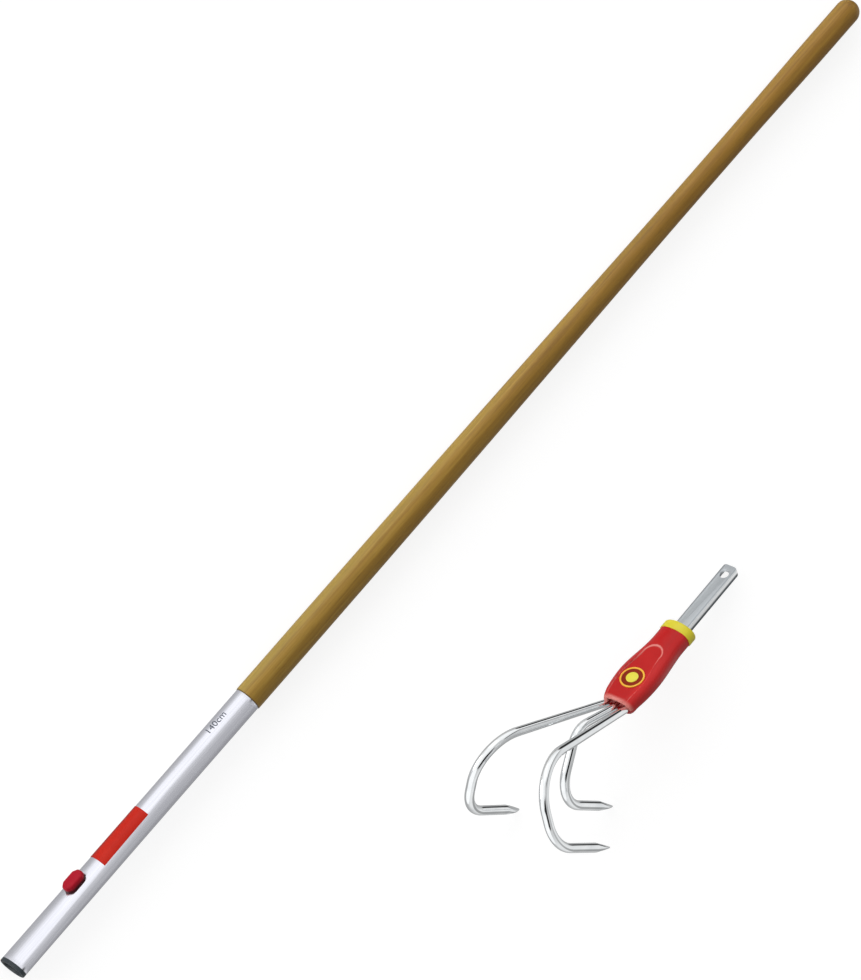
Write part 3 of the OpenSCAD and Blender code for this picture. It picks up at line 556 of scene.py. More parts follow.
def ash_pole():
    sides, steps, arc = 72, 150, 8
    spigot_from = FERRULE_TO - SPIGOT_LEN
    dome_at = HANDLE_LEN - POLE_KNOB_R
    line = [(spigot_from, SPIGOT_R - 1), (spigot_from + 1, SPIGOT_R), (FERRULE_TO, SPIGOT_R)]
    line += [(FERRULE_TO + POLE_SHOULDER * (1 - c), POLE_ROOT_R - POLE_SHOULDER * (1 - s))
             for s, c in quarter(arc)]
    start = FERRULE_TO + POLE_SHOULDER
    along = [mix(start, dome_at, k / steps) for k in range(1, steps + 1)]
    line += [(x, pole_radius(x)) for x in along]
    line += [(dome_at + POLE_KNOB_R * s, POLE_KNOB_R * c) for s, c in quarter(2 * arc, 1)[:-1]]
    obj = make("ash_pole_turned", skin([oval(x, r, r, sides) for x, r in line]), handle_place)
    dress(obj, "handle", ash_finish, ["ash_pole"])


def ferrule_half(x):
    """Half width and half depth of the ferrule at a distance from the mouth."""
    t = clamp(x / OVAL_LEN)
    return mix(MOUTH_W / 2, FERRULE_R, t), mix(MOUTH_H / 2, FERRULE_R, t)


def ferrule_ring(x, inset, sides=96):
    a, b = ferrule_half(x)
    return oval(x, a - inset, b - inset, sides)


def button_outline(grow):
    """The button's eight-sided outline with rounded corners."""
    arc = 6
    x, y = BUTTON_LEN / 2 + grow, BUTTON_W / 2 + grow
    share = min(1.0, 2 * y / BUTTON_W)
    quarter = [(x, y - BUTTON_END_W * share), (x - BUTTON_END_LEN * share, y)]
    corner = BUTTON_CORNER * share
    corners = quarter + [(-a, b) for a, b in reversed(quarter)]
    corners += [(-a, -b) for a, b in quarter] + [(a, -b) for a, b in reversed(quarter)]
    outline = []
    for k, here in enumerate(corners):
        here = Vector(here)
        before, after = Vector(corners[k - 1]), Vector(corners[(k + 1) % len(corners)])
        start = here + (before - here).normalized() * corner
        end = here + (after - here).normalized() * corner
        for i in range(arc + 1):
            t = i / arc
            outline.append(tuple(start * (1 - t) ** 2 + here * 2 * t * (1 - t) + end * t ** 2))
    return outline


def upright(outline, z):
    return [(BUTTON_AT + x, y, z) for x, y in outline]


def ferrule():
    steps = 60
    along = [FERRULE_FROM + (FERRULE_TO - FERRULE_FROM) * k / steps for k in range(steps + 1)]
    rings = [ferrule_ring(x, 0.0) for x in along] + [ferrule_ring(x, FERRULE_WALL) for x in reversed(along)]
    obj = make("ferrule_tube", skin(rings, endless=True), handle_place)
    slot = [upright(button_outline(BUTTON_GAP), z) for z in (0.0, BUTTON_TOP)]
    carve(obj, make("slot_tool", skin(slot), handle_place), "DIFFERENCE")
    break_edges(obj, 0.3, 40.0)
    dress(obj, "handle", ferrule_finish, ["ferrule"])


def label_plate():
    steps, along = 56, 20
    rings = []
    for k in range(steps + 1):
        t = math.radians(90 - LABEL_HALF_ANGLE + 2 * LABEL_HALF_ANGLE * k / steps)
        xs = [mix(LABEL_FROM, LABEL_TO, i / along) for i in range(along + 1)]
        section = [(x, LABEL_GLUE) for x in xs] + [(x, LABEL_GLUE + LABEL_T) for x in reversed(xs)]
        ring = []
        for x, up in section:
            a, b = ferrule_half(x)
            ring.append((x, (a + up) * math.cos(t), (b + up) * math.sin(t)))
        rings.append(ring)
    obj = make("label_wrap", skin(rings), handle_place)
    dress(obj, "handle", label_finish, ["label_plate"])


def socket_liner():
    sides = 96
    rim_a, rim_b = ferrule_half(0.0)
    bore = [ferrule_ring(x, FERRULE_WALL + LINER_GAP, sides)
            for x in (LINER_LEN, LINER_LEN / 2, FERRULE_FROM)]
    rim = [oval(x, rim_a - inset, rim_b - inset, sides)
           for x, inset in ((FERRULE_FROM, 0.0), (0.9, 0.0), (0.35, 0.15), (0.1, 0.5), (0.0, 0.9))]
    lead = [oval(x, LEAD_W / 2 + grow, LEAD_H / 2 + grow, sides)
            for x, grow in ((0.0, 0.7), (0.15, 0.25), (0.6, 0.0))]
    throat = []
    for k in range(1, 9):
        t = k / 8
        throat.append(squared_oval(0.6 + (LEAD_LEN - 0.6) * t, mix(LEAD_W, CHANNEL_W, t) / 2,
                                   mix(LEAD_H, CHANNEL_H, t) / 2, mix(2.0, CHANNEL_FULLNESS, t ** 3), sides))
    end = squared_oval(LINER_LEN, CHANNEL_W / 2, CHANNEL_H / 2, CHANNEL_FULLNESS, sides)
    obj = make("socket_liner_moulding", skin(bore + rim + lead + throat + [end], endless=True), handle_place)
    dress(obj, "handle", liner_finish, ["socket_liner"])


def latch_button():
    levels = [(LIP_TOP - 0.5, 0.0), (BUTTON_TOP - BUTTON_BEVEL - BUTTON_CROWN, 0.0)]
    levels += [(BUTTON_TOP - BUTTON_CROWN - BUTTON_BEVEL * (1 - s), -BUTTON_BEVEL * (1 - c))
               for s, c in quarter(6, 1)]
    levels += [(BUTTON_TOP - down, -inset) for down, inset in CROWN_RINGS]
    cap = skin([upright(button_outline(grow), z) for z, grow in levels])
    stem_from = BUTTON_AT - STEM_LEN / 2
    lip = block((BUTTON_AT - LIP_LEN / 2, -LIP_W / 2, LIP_BOTTOM),
                (BUTTON_AT + LIP_LEN / 2, LIP_W / 2, LIP_TOP))
    stem = block((stem_from, -STEM_W / 2, STEM_BOTTOM), (stem_from + STEM_LEN, STEM_W / 2, LIP_BOTTOM + 0.5))
    leg = block((stem_from, -STEM_W / 2, LEG_BOTTOM), (stem_from + LEG_LEN, STEM_W / 2, STEM_BOTTOM + 0.5))
    obj = make("push_button", join(cap, lip, stem, leg), handle_place)
    dress(obj, "latch", button_finish, ["latch_button"], 50.0)


def length_mark():
    """The plain length mark, printed on the round of the ferrule."""
    words = bpy.data.curves.new("length_mark", "FONT")
    words.body = MARK_TEXT
    words.size = MARK_SIZE
    words.extrude = MARK_T / 2
    words.align_x = "CENTER"
    words.align_y = "CENTER"
    words.resolution_u = 6
    flat = put("length_mark_flat", words)
    mesh = plain_mesh(flat)
    bpy.data.objects.remove(flat)
    work = bmesh.new()
    work.from_mesh(mesh)
    bmesh.ops.remove_doubles(work, verts=work.verts, dist=1e-5)
    rows = 24
    for k in range(-rows // 2, rows // 2 + 1):
        everything = work.verts[:] + work.edges[:] + work.faces[:]
        bmesh.ops.bisect_plane(work, geom=everything, plane_co=(0, MARK_SIZE * k / rows, 0),
                               plane_no=(0, 1, 0))
    for v in work.verts:
        r = FERRULE_R + MARK_T / 2 + 0.02 + v.co.z
        t = math.radians(MARK_TURN) - v.co.y / FERRULE_R
        v.co = handle_place @ (Vector((MARK_AT + v.co.x, r * math.cos(t), r * math.sin(t))) * MM)
    bmesh.ops.recalc_face_normals(work, faces=work.faces)
    work.to_mesh(mesh)
    work.free()
    dress(put("length_mark_print", mesh), "handle", ink_finish)


# ---- head

def sleeve_rise(t, mouth, belly, neck):
    if t < BELLY_SHARE:
        return belly - (belly - mouth) * (1 - t / BELLY_SHARE) ** 2
    return mix(neck, belly, ease(1 - min(1.0, (t - BELLY_SHARE) / (NECK_SHARE - BELLY_SHARE))))


def sleeve_half(x):
    t = x / SLEEVE_LEN
    return (sleeve_rise(t, SLEEVE_MOUTH_W, BELLY_W, NECK_W) / 2,
            sleeve_rise(t, SLEEVE_MOUTH_H, BELLY_H, NECK_H) / 2)


def sleeve_mid(x):
    """How far the middle of the sleeve's section is raised above the tines' line."""
    t = x / SLEEVE_LEN
    rising, falling = clamp(t / LIFT_FULL), clamp((t - LIFT_FALL) / (LIFT_GONE - LIFT_FALL))
    return SLEEVE_LIFT * min(ease(rising), 1 - ease(falling))


def sleeve_ring(x, side_in, top_in, sides):
    a, b = sleeve_half(x)
    mid = sleeve_mid(x)
    ring = squared_oval(x, a - side_in, b - top_in, SLEEVE_FULLNESS, sides)
    return [sunk((x, y, z + mid)) for x, y, z in ring]


ARCH_LEN = PANEL_LEN * PANEL_ARCH_SHARE
ARCH_FROM = PANEL_LEN - ARCH_LEN


def panel_half(x):
    """Half width of the sunk panel, from the mouth to the top of its arch."""
    if x < ARCH_FROM:
        side = sleeve_half(x)[0] * PANEL_BELLY_SHARE
        return mix(side, PANEL_ARCH_W / 2, ease(max(0.0, x / ARCH_FROM - BELLY_SHARE) / (1 - BELLY_SHARE)))
    return PANEL_ARCH_W / 2 * math.sqrt(max(0.0, 1 - ((x - ARCH_FROM) / ARCH_LEN) ** 2))


def panel_edge():
    steps = 90
    along = [ARCH_FROM * k / steps for k in range(steps + 1)]
    along += [ARCH_FROM + ARCH_LEN * s for s, c in quarter(30, 1)]
    return [(x, panel_half(x)) for x in along]


PANEL_EDGE = panel_edge()


def panel_depth(x, y):
    """How far a point lies inside the panel's edge; negative outside it."""
    y = abs(y)
    near = min((x - a) ** 2 + (y - b) ** 2 for a, b in PANEL_EDGE)
    inside = x < PANEL_LEN and y < panel_half(max(0.0, x))
    return math.sqrt(near) * (1 if inside else -1)


def arch_share(x):
    start = ARCH_FROM * RIM_ARCH_FROM
    return clamp((x - start) / (PANEL_LEN - start))


def rim_share(x, y):
    """How far down the panel's sloping rim a point lies: 0 at its top, 1 at its foot."""
    return clamp((panel_depth(x, y) + RIM_OUT) / mix(RIM_SIDE_W, RIM_ARCH_W, arch_share(x)))


def off_panel(x, z):
    return z < PANEL_Z - RIM_DEPTH or x > PANEL_LEN + RIM_PAST


def painted_highlight(x, y, z):
    """How strong the painted highlight on the rim of the panel and on the lip of the mouth is."""
    lip = LIP_PALE * ease(clamp(1 - x / LIP_PALE_LEN)) if x < LIP_PALE_LEN and z > 0 else 0.0
    if off_panel(x, z):
        return lip
    down = rim_share(x, y)
    return max(lip, 4 * down * (1 - down) * mix(RIM_SIDE_PALE, RIM_ARCH_PALE, arch_share(x)))


def sunk(point):
    """A point of the sleeve's skin, lowered where the panel is."""
    x, y, z = point
    if off_panel(x, z):
        return point
    deep = ease(rim_share(x, y))
    return x, y, mix(z, min(z, PANEL_Z), deep)


def grip_sleeve():
    sides, lip_steps, steps = 224, 8, 120
    rings = []
    for s, c in quarter(lip_steps):
        x = LIP_ROUND_LEN * (1 - c)
        rings.append(sleeve_ring(x, LIP_ROUND_SIDE * (1 - s), LIP_ROUND_TOP * (1 - s), sides))
    for k in range(1, steps + 1):
        rings.append(sleeve_ring(mix(LIP_ROUND_LEN, SLEEVE_LEN, k / steps), 0.0, 0.0, sides))
    inner = [(RECESS_LEN, -0.6), (RECESS_LEN - 0.8, 0.0), (1.2, 0.0), (0.4, 0.12), (0.1, 0.35)]
    recess = [squared_oval(x, RECESS_W / 2 + grow, RECESS_H / 2 + grow, RECESS_FULLNESS, sides)
              for x, grow in inner]
    obj = make("grip_sleeve_moulding", skin(recess + rings), head_place)
    # Each point of the sleeve keeps the strength of its painted highlight
    rim = obj.data.attributes.new("painted_rim_highlight", "FLOAT", "POINT")
    home = head_place.inverted()
    rim.data.foreach_set("value", [painted_highlight(*(home @ v.co / MM)) for v in obj.data.vertices])
    dress(obj, "head", sleeve_finish, ["grip_sleeve"], 60.0)


def tine_bosses():
    """Short moulded collars in the sleeve's mouth, one round each tine."""
    shapes = []
    inner = TINE_ROOT_D / 2 + 0.15
    outer = SHANK_PITCH / 2 - 0.1
    for k in (-1, 0, 1):
        line = [(RECESS_LEN + 0.5, inner), (RECESS_LEN + 0.5, outer), (4.2, outer), (3.5, outer - 0.15),
                (3.1, outer - 0.5), (3.0, mix(inner, outer, 0.4)), (3.2, inner)]
        rings = [[(x, y + k * SHANK_PITCH, z) for x, y, z in oval(x, r, r, 40)] for x, r in line]
        shapes.append(skin(rings, endless=True))
    obj = make("tine_bosses", join(*shapes), head_place)
    dress(obj, "head", boss_finish)


def badge():
    sides, low, high = 72, PANEL_Z, PANEL_Z + BADGE_T

    def flat(x_r, y_r, z):
        return [(BADGE_AT + x_r * math.cos(t), y_r * math.sin(t), z) for t in angles(sides)]
    rim_in = BADGE_RIM_W
    a, b = BADGE_LEN / 2, BADGE_W / 2
    field = [flat(a - rim_in / 2, b - rim_in / 2, z) for z in (low - 0.2, high - 0.15)]
    obj = make("badge_field", skin(field), head_place)
    dress(obj, "head", field_finish)
    rim = []
    for k in range(13):
        w = math.pi * k / 12
        inset = rim_in / 2 - rim_in / 2 * math.cos(w)
        rim.append(flat(a - inset, b - inset, high + BADGE_RIM_H * math.sin(w) - 0.02))
    rim += [flat(a - rim_in, b - rim_in, low - 0.2), flat(a, b, low - 0.2)]
    eye = [flat(a * BADGE_EYE_SHARE - inset, b * BADGE_EYE_SHARE - inset, z)
           for z, inset in ((low - 0.1, 0.0), (high + 0.1, 0.0), (high + 0.3, 0.25), (high + 0.38, 0.8))]
    obj = make("badge_eye", skin(eye), head_place)
    dress(obj, "head", eye_finish)
    obj = make("badge_ring", skin(rim, endless=True), head_place)
    dress(obj, "head", badge_finish, ["sleeve_badge"])


def collar_ring():
    sides, arc = 96, 6
    line = [(SLEEVE_LEN, COLLAR_UNDER), (SLEEVE_LEN, COLLAR_FOOT_R)]
    line += [(SLEEVE_LEN + COLLAR_FOOT_R * (1 - c), COLLAR_FOOT_R - COLLAR_FOOT_R * s)
             for s, c in quarter(arc, 1)]
    line += [(COLLAR_TOP - COLLAR_TOP_R * (1 - s), COLLAR_TOP_R * (1 - c)) for s, c in quarter(arc)]
    rings = [oval(x, COLLAR_W / 2 - inset, COLLAR_H / 2 - inset, sides) for x, inset in line]
    hole = [squared_oval(x, TANG_W / 2 + grow, TANG_H / 2 + grow, COLLAR_HOLE_FULLNESS, sides)
            for x, grow in ((COLLAR_TOP, 0.7), (COLLAR_TOP - 0.5, 0.15), (SLEEVE_LEN, 0.15))]
    obj = make("collar_moulding", skin(rings + hole, endless=True), head_place)
    dress(obj, "head", collar_finish, ["collar_ring"])


def fold_section():
    """Section of the tang: a sheet folded down on both sides."""
    w, h = TANG_W / 2, TANG_H / 2

    def half(foot, r):
        return [(foot, -h)] + [(w - TANG_FOLD_R + r * c, h - TANG_FOLD_R + r * s) for s, c in quarter(6)]
    right, inside = half(w, TANG_FOLD_R), half(w - TANG_SHEET, TANG_FOLD_R - TANG_SHEET)
    left, under_left = [(-y, z) for y, z in reversed(right)], [(-y, z) for y, z in inside]
    return right + left + under_left + inside[::-1]


def tang():
    overrun, back = 2.0, TANG_FROM - 5
    channel = skin([[(x, y, z) for y, z in fold_section()] for x in (TANG_FROM, TANG_END + overrun)])
    obj = make("tang_channel", channel, head_place)
    outline = [(back, -TANG_W), (TANG_END - TANG_CORNER_R, -TANG_W)]
    turn = quarter(8)
    for side, corner in ((-1, turn), (1, [(c, s) for s, c in turn])):
        outline += [(TANG_END - TANG_CORNER_R * (1 - x), side * (TANG_W / 2 - TANG_CORNER_R * (1 - y)))
                    for x, y in corner]
    outline += [(TANG_END - TANG_CORNER_R, TANG_W), (back, TANG_W)]
    plan = skin([[(x, y, z) for x, y in outline] for z in (-TANG_H, TANG_H)])
    carve(obj, make("tip_tool", plan, head_place), "INTERSECT")
    hole_at = TANG_END - HOLE_FROM_END
    drill = skin([[(hole_at + HOLE_R * math.cos(t), HOLE_R * math.sin(t), z) for t in angles(64)]
                  for z in (-TANG_H, TANG_H)])
    carve(obj, make("drill_tool", drill, head_place), "DIFFERENCE")
    break_edges(obj, 0.28, 35.0)
    dress(obj, "head", tang_finish, ["tang"])


# ---- Geometry Nodes: bars that follow a route, coils and rivets

def start_tree(name, sizes, vectors, counts):
    tree = bpy.data.node_groups.new(name, "GeometryNodeTree")
    tree.interface.new_socket("Geometry", in_out="INPUT", socket_type="NodeSocketGeometry")
    for names, kind in ((sizes, "NodeSocketFloat"), (vectors, "NodeSocketVector"), (counts, "NodeSocketInt"),
                        (("Finish",), "NodeSocketMaterial")):
        for socket in names:
            tree.interface.new_socket(socket, in_out="INPUT", socket_type=kind)
    tree.interface.new_socket("Geometry", in_out="OUTPUT", socket_type="NodeSocketGeometry")
    return tree, add(tree, "NodeGroupInput").outputs


def end_tree(tree, geometry, given):
    solid = node_out(tree, "GeometryNodeRealizeInstances", {"Geometry": geometry})
    smooth = node_out(tree, "GeometryNodeSetShadeSmooth", {"Geometry": solid})
    dressed = node_out(tree, "GeometryNodeSetMaterial", {"Geometry": smooth, "Material": given["Finish"]})
    add(tree, "NodeGroupOutput", {"Geometry": dressed})
    return tree


def tine_bar_tree():
    """A round bar along a bent route, growing towards its hook and flattened to a point."""
    tree, given = start_tree(
        "tine_bar", ("Shank Length", "Root Diameter", "Hook Diameter", "Growth", "Point Length",
                     "Point End Width", "Point End Thickness", "Point Swell", "Step"),
        ("Across",), ("Sides",))
    route = node_out(tree, "GeometryNodeMeshToCurve", {"Mesh": given["Geometry"]})
    bend = node_out(tree, "GeometryNodeInputNamedAttribute", {"Name": "bend_radius"}, data_type="FLOAT")
    bent = node_out(tree, "GeometryNodeFilletCurve", {
        "Curve": route, "Count": 24, "Radius": bend, "Limit Radius": True}, mode="POLY")
    fine = node_out(tree, "GeometryNodeResampleCurve", {
        "Curve": bent, "Length": given["Step"]}, mode="LENGTH")
    run = add(tree, "GeometryNodeSplineParameter").outputs["Length"]
    whole = node_out(tree, "GeometryNodeSplineLength")
    outside = calc(tree, "SUBTRACT", run, given["Shank Length"])
    grow_len = calc(tree, "MULTIPLY", calc(tree, "SUBTRACT", whole, given["Shank Length"]), given["Growth"])
    grown = remap(tree, calc(tree, "DIVIDE", outside, grow_len), 0.0, 1.0, curve="SMOOTHSTEP")
    across = remap(tree, grown, 0.0, 1.0, given["Root Diameter"], given["Hook Diameter"])
    radius = calc(tree, "MULTIPLY", 0.5, across)
    left = calc(tree, "DIVIDE", calc(tree, "SUBTRACT", whole, run), given["Point Length"])
    p = calc(tree, "MAXIMUM", calc(tree, "SUBTRACT", 1.0, left), 0.0)
    cubed = calc(tree, "POWER", p, 3.0)
    swell = calc(tree, "MULTIPLY", calc(tree, "SUBTRACT", given["Point Swell"], 1.0),
                 calc(tree, "SINE", calc(tree, "MULTIPLY", p, math.pi)))
    full = calc(tree, "MULTIPLY", radius, calc(tree, "ADD", swell, 1.0))
    half_w = calc(tree, "ADD", calc(tree, "MULTIPLY", full, calc(tree, "SUBTRACT", 1.0, cubed)),
                  calc(tree, "MULTIPLY", calc(tree, "MULTIPLY", given["Point End Width"], 0.5), cubed))
    end_t = calc(tree, "MULTIPLY", given["Point End Thickness"], 0.5)
    half_t = calc(tree, "ADD", radius, calc(tree, "MULTIPLY", calc(tree, "SUBTRACT", end_t, radius), p))
    kept = add(tree, "GeometryNodeCaptureAttribute", {"Geometry": fine}, domain="POINT")
    for kind, name in (("VECTOR", "Centre"), ("VECTOR", "Heading"), ("FLOAT", "Flatness"),
                       ("FLOAT", "Half Width")):
        kept.capture_items.new(kind, name)
    fill(tree, kept, {
        "Centre": node_out(tree, "GeometryNodeInputPosition"),
        "Heading": node_out(tree, "GeometryNodeInputTangent"),
        "Flatness": calc(tree, "SUBTRACT", calc(tree, "DIVIDE", half_t, half_w), 1.0),
        "Half Width": half_w})
    rod = node_out(tree, "GeometryNodeCurvePrimitiveCircle", {"Resolution": given["Sides"], "Radius": 1.0})
    bar = node_out(tree, "GeometryNodeCurveToMesh", {
        "Curve": kept.outputs["Geometry"], "Profile Curve": rod, "Scale": kept.outputs["Half Width"],
        "Fill Caps": True})
    heading = kept.outputs["Heading"]
    lean = scaled(tree, heading, vector(tree, "DOT_PRODUCT", given["Across"], heading))
    wide = vector(tree, "NORMALIZE", vector(tree, "SUBTRACT", given["Across"], lean))
    thick = vector(tree, "CROSS_PRODUCT", heading, wide)
    off = vector(tree, "SUBTRACT", node_out(tree, "GeometryNodeInputPosition"), kept.outputs["Centre"])
    squeeze = calc(tree, "MULTIPLY", vector(tree, "DOT_PRODUCT", off, thick), kept.outputs["Flatness"])
    flattened = node_out(tree, "GeometryNodeSetPosition", {
        "Geometry": bar, "Offset": scaled(tree, thick, squeeze)})
    return end_tree(tree, flattened, given)


def coil_tree():
    """A coil spring of round wire, standing on its lower end."""
    tree, given = start_tree("coil", ("Turns", "Coil Radius", "Wire Radius", "Height"), (),
                             ("Steps", "Sides"))
    path = node_out(tree, "GeometryNodeCurveSpiral", {
        "Resolution": given["Steps"], "Rotations": given["Turns"], "Start Radius": given["Coil Radius"],
        "End Radius": given["Coil Radius"], "Height": given["Height"]})
    wire = node_out(tree, "GeometryNodeCurvePrimitiveCircle", {
        "Resolution": given["Sides"], "Radius": given["Wire Radius"]})
    coil = node_out(tree, "GeometryNodeCurveToMesh", {
        "Curve": path, "Profile Curve": wire, "Scale": 1.0, "Fill Caps": True})
    return end_tree(tree, coil, given)


def rivet_row_tree():
    """Domed rivet heads in a row along x."""
    tree, given = start_tree("rivet_row", ("Head Radius", "Head Height", "Pitch"), (), ("Count",))
    shift = node_out(tree, "ShaderNodeCombineXYZ", {"X": given["Pitch"]})
    row = node_out(tree, "GeometryNodeMeshLine", {"Count": given["Count"], "Offset": shift})
    ball = node_out(tree, "GeometryNodeMeshUVSphere", {
        "Segments": 32, "Rings": 16, "Radius": given["Head Radius"]})
    flat = node_out(tree, "ShaderNodeCombineXYZ", {
        "X": 1.0, "Y": 1.0, "Z": calc(tree, "DIVIDE", given["Head Height"], given["Head Radius"])})
    heads = node_out(tree, "GeometryNodeInstanceOnPoints", {"Points": row, "Instance": ball, "Scale": flat})
    return end_tree(tree, heads, given)


def grown(name, tree, base, inputs):
    """The plain mesh that a tree makes from a base mesh and its inputs."""
    holder = put(name + "_base", base)
    modifier = holder.modifiers.new("tree", "NODES")
    modifier.node_group = tree
    for item in tree.interface.items_tree:
        if item.item_type == "SOCKET" and item.in_out == "INPUT" and item.name in inputs:
            modifier[item.identifier] = inputs[item.name]
    mesh = plain_mesh(holder)
    holder.modifiers.remove(modifier)
    bpy.data.objects.remove(holder)
    mesh.name = name
    return mesh


def tine(node, corners, bends, tree):
    name = node + "_bar"
    route = bpy.data.meshes.new(name + "_route")
    points = [head_place @ (Vector(c) * MM) for c in corners]
    route.from_pydata(points, [(k, k + 1) for k in range(len(points) - 1)], [])
    radius = route.attributes.new("bend_radius", "FLOAT", "POINT")
    radius.data.foreach_set("value", [0.0] + [r * MM for r in bends] + [0.0])
    run_in, run_out = points[-2] - points[-3], points[-1] - points[-2]
    mesh = grown(name, tree, route, {
        "Shank Length": SHANK_FROM * MM, "Root Diameter": TINE_ROOT_D * MM, "Hook Diameter": TINE_HOOK_D * MM,
        "Growth": TINE_GROWTH, "Point Length": POINT_LEN * MM, "Point End Width": POINT_END_W * MM,
        "Point End Thickness": POINT_END_T * MM, "Point Swell": POINT_SWELL, "Step": TINE_STEP * MM,
        "Across": tuple(run_in.cross(run_out).normalized()), "Sides": TINE_SIDES,
        "Finish": chrome_finish})
    tidy_normals(mesh)
    dress(put(name, mesh), "head", chrome_finish, [node])


def tines():
    tree = tine_bar_tree()
    for side, node in ((1, "tine_left"), (-1, "tine_right")):
        shank = side * SHANK_PITCH
        corners = [(SHANK_FROM, shank, 0.0), (0.0, shank, 0.0)]
        corners += [(x, side * y, z) for x, y, z in (OUTER_KNEE, OUTER_HOOK, OUTER_POINT)]
        tine(node, corners, OUTER_BENDS, tree)
    corners = [(SHANK_FROM, 0.0, 0.0), (0.0, 0.0, 0.0), CENTRE_KNEE, CENTRE_HOOK, CENTRE_POINT]
    tine("tine_centre", corners, CENTRE_BENDS, tree)


def latch_spring():
    mesh = grown("latch_coil", coil_tree(), bpy.data.meshes.new("coil_seed"), {
        "Turns": SPRING_TURNS, "Coil Radius": SPRING_R * MM, "Wire Radius": SPRING_WIRE_R * MM,
        "Height": (SPRING_TOP - SPRING_FLOOR - 2 * SPRING_WIRE_R) * MM, "Steps": 36, "Sides": 12,
        "Finish": spring_finish})
    foot = Vector((SPRING_AT, 0.0, SPRING_FLOOR + SPRING_WIRE_R)) * MM
    mesh.transform(handle_place @ Matrix.Translation(foot))
    tidy_normals(mesh)
    obj = dress(put("latch_coil", mesh), "handle", spring_finish, ["latch_spring"])
    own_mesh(obj)


def ferrule_rivets():
    mesh = grown("pole_rivet_heads", rivet_row_tree(), bpy.data.meshes.new("rivet_seed"), {
        "Head Radius": RIVET_HEAD_R * MM, "Head Height": RIVET_HEAD_H * MM, "Pitch": RIVET_PITCH * MM,
        "Count": RIVET_COUNT, "Finish": rivet_finish})
    below = Matrix.Translation(Vector((RIVET_FROM, 0.0, -FERRULE_R)) * MM)
    mesh.transform(handle_place @ below)
    tidy_normals(mesh)
    dress(put("pole_rivet_heads", mesh), "handle", rivet_finish, ["ferrule_rivets"])


ash_pole()
ferrule()
label_plate()
socket_liner()
latch_button()
length_mark()
grip_sleeve()
tine_bosses()
badge()
collar_ring()
tang()
tines()
latch_spring()
ferrule_rivets()

# The pieces inside keep their CAD shape and get their finish
for node, finish in (("latch_housing", liner_finish), ("latch_foot", latch_finish),
                     ("latch_peg", latch_finish), ("tine_carrier", carrier_finish),
                     ("carrier_rivets", latch_finish)):
    inner_mesh = frame["nodes"][node].data
    inner_mesh.materials.clear()
    inner_mesh.materials.append(finish)


# ---- floor, light and camera

# Light round the object by its lean from straight up towards +Y, in degrees, and its strength.
# The soft light falls on the pieces. The walls are what they mirror.
SOFT_LIGHT = [(-180, 0.34), (-60, 0.37), (0, 0.42), (35, 0.6),
              (55, 2.27), (95, 2.27), (115, 0.5), (180, 0.34)]
TUBE_WALLS = [(-180, 0.5), (-118, 0.38), (-89, 0.48), (-67, 0.57), (-47, 0.57),
              (-30, 0.66), (-13, 0.73), (4, 0.73), (18, 1.3), (75, 1.33),
              (84, 1.2), (100, 0.8), (112, 0.66), (140, 0.55), (180, 0.5)]
TINE_WALLS = [(-180, 0.45), (-150, 0.5), (-130, 0.68), (-112, 0.93), (-90, 0.95), (-60, 0.75),
              (-29, 0.6), (-27, 0.08), (-15, 0.08), (-13, 0.9), (6, 1.1), (60, 1.2),
              (92, 0.93), (130, 0.65), (150, 0.5), (180, 0.45)]
# Ways near this share along X, which the tube mirrors, see its walls, and all others those of the tines
TUBE_WAY, TUBE_NEAR, TUBE_FAR = 0.2, 0.17, 0.22
# Round patches of the sky: middle, spread in degrees and, but for the screens, strength
PALE_WALL = ((-0.95, -0.12, 0.0), 38.0, 1.2)
DARK_SCREENS = (((0.951, 0.168, -0.259), 15.0), ((0.88, -0.17, -0.43), 10.0), ((-0.38, -0.46, 0.8), 19.0))
SCREEN_STRENGTH = 0.03
WINDOW = ((-0.6, 0.79, 0.12), 18.0, 5.0)
PATCH_EDGE = 2.0

# Floor and camera: distances in metres, lens and sensor in millimetres
FLOOR_HALF, FLOOR_AT, FLOOR_TONE, FLOOR_GLOW = 8.0, -0.0005, 0.3, 0.81
CAMERA_LENS, CAMERA_SENSOR, CAMERA_AWAY, CAMERA_REACH = 686.25, 36.0, 20.0, 100.0
CAMERA_SHIFT = (-0.0017, -0.0072)
CAMERA_BACK, CAMERA_UP = (-0.199368, 0.182236, 0.962831), (0.738323, 0.673972, 0.025317)


def studio_floor():
    mesh = bpy.data.meshes.new("studio_floor")
    corners = [(x * FLOOR_HALF, y * FLOOR_HALF, FLOOR_AT) for x, y in ((-1, -1), (1, -1), (1, 1), (-1, 1))]
    mesh.from_pydata(corners, [], [(0, 1, 2, 3)])
    finish, tree, shader = surface("pale_floor")
    tree.nodes.remove(shader)
    matt = node_out(tree, "ShaderNodeBsdfDiffuse", {"Color": level(FLOOR_TONE)})
    path = add(tree, "ShaderNodeLightPath").outputs
    seen = calc(tree, "MAXIMUM", path["Is Camera Ray"], path["Is Transmission Ray"])
    glow = node_out(tree, "ShaderNodeEmission", {
        "Color": level(1.0), "Strength": calc(tree, "MULTIPLY", seen, FLOOR_GLOW)})
    both = node_out(tree, "ShaderNodeAddShader", {0: matt, 1: glow})
    fill(tree, tree.nodes["Material Output"], {"Surface": both})
    mesh.materials.append(finish)
    floor = put("studio_floor", mesh)
    floor.visible_glossy = False


def patch(tree, way, middle, spread):
    """1 inside a round patch of the sky, its spread in degrees, and 0 outside it."""
    facing = vector(tree, "DOT_PRODUCT", way, tuple(Vector(middle).normalized()))
    return remap(tree, facing, math.cos(math.radians(spread + PATCH_EDGE)),
                 math.cos(math.radians(spread - PATCH_EDGE)))


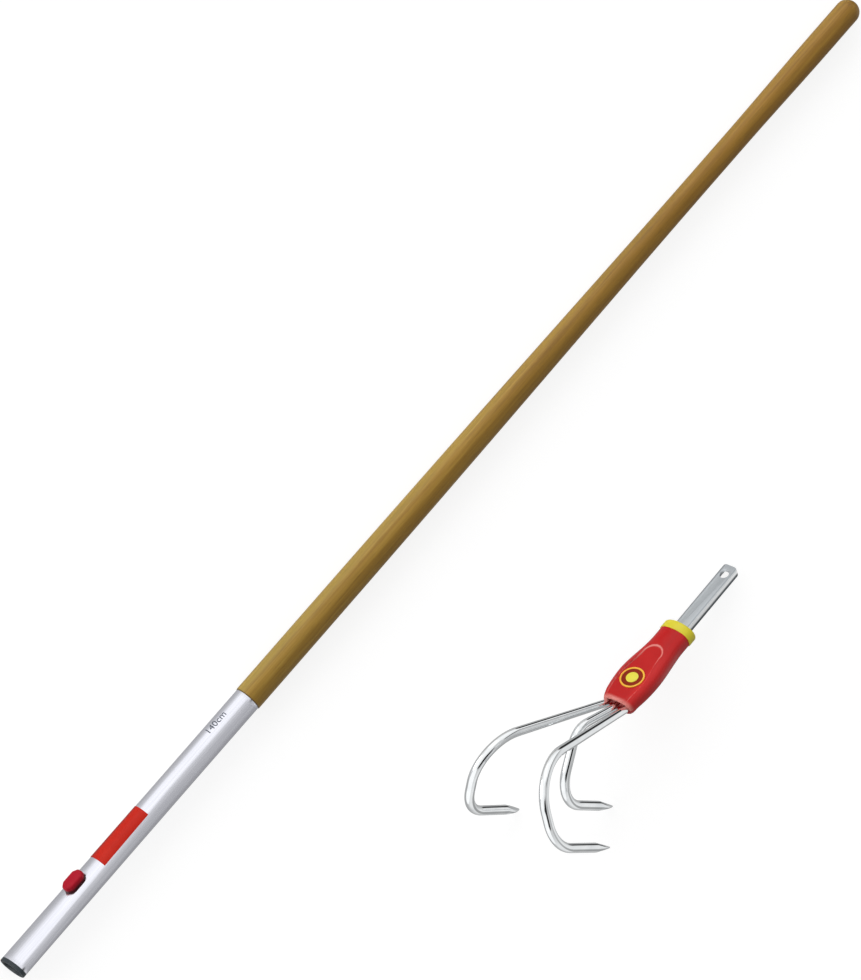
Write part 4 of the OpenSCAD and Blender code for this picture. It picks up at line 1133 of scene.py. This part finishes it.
def walls(tree, lean, stops):
    return ramp(tree, remap(tree, lean, -math.pi, math.pi),
                [((degrees + 180) / 360, level(strength)) for degrees, strength in stops])


def studio_sky():
    """Soft light, most of it from +Y; reflections see pale walls, dark screens and a window instead."""
    world = bpy.data.worlds.new("studio_sky")
    bpy.context.scene.world = world
    world.use_nodes = True
    tree = world.node_tree
    way = add(tree, "ShaderNodeTexCoord").outputs["Generated"]
    parts = add(tree, "ShaderNodeSeparateXYZ", {0: way}).outputs
    lean = calc(tree, "ARCTAN2", parts["Y"], parts["Z"])
    aside = remap(tree, calc(tree, "ABSOLUTE", calc(tree, "SUBTRACT", parts["X"], TUBE_WAY)),
                  TUBE_NEAR, TUBE_FAR)
    mirrored = blend_colours(tree, aside, walls(tree, lean, TUBE_WALLS), walls(tree, lean, TINE_WALLS))
    screens = [(middle, spread, SCREEN_STRENGTH) for middle, spread in DARK_SCREENS]
    for middle, spread, strength in [PALE_WALL] + screens + [WINDOW]:
        mirrored = blend_colours(tree, patch(tree, way, middle, spread), mirrored, level(strength))
    path = add(tree, "ShaderNodeLightPath").outputs
    light = blend_colours(tree, path["Is Glossy Ray"], walls(tree, lean, SOFT_LIGHT), mirrored)
    shown = blend_colours(tree, path["Is Camera Ray"], light, level(1.0))
    fill(tree, tree.nodes["Background"], {"Color": shown, "Strength": 1.0})


def camera():
    lens = bpy.data.cameras.new("camera")
    lens.lens = CAMERA_LENS
    lens.sensor_width = CAMERA_SENSOR
    lens.shift_x, lens.shift_y = CAMERA_SHIFT
    lens.clip_end = CAMERA_REACH
    obj = bpy.data.objects.new("camera", lens)
    back, up = Vector(CAMERA_BACK), Vector(CAMERA_UP)
    turn = Matrix((up.cross(back), up, back)).transposed().to_quaternion().to_matrix().to_4x4()
    middle = Vector((0.0, handle_place.translation.y, 0.0))
    obj.matrix_world = Matrix.Translation(back * CAMERA_AWAY + middle) @ turn
    bpy.context.scene.collection.objects.link(obj)
    bpy.context.scene.camera = obj


studio_floor()
studio_sky()
camera()
bpy.context.scene.view_settings.view_transform = "Standard"
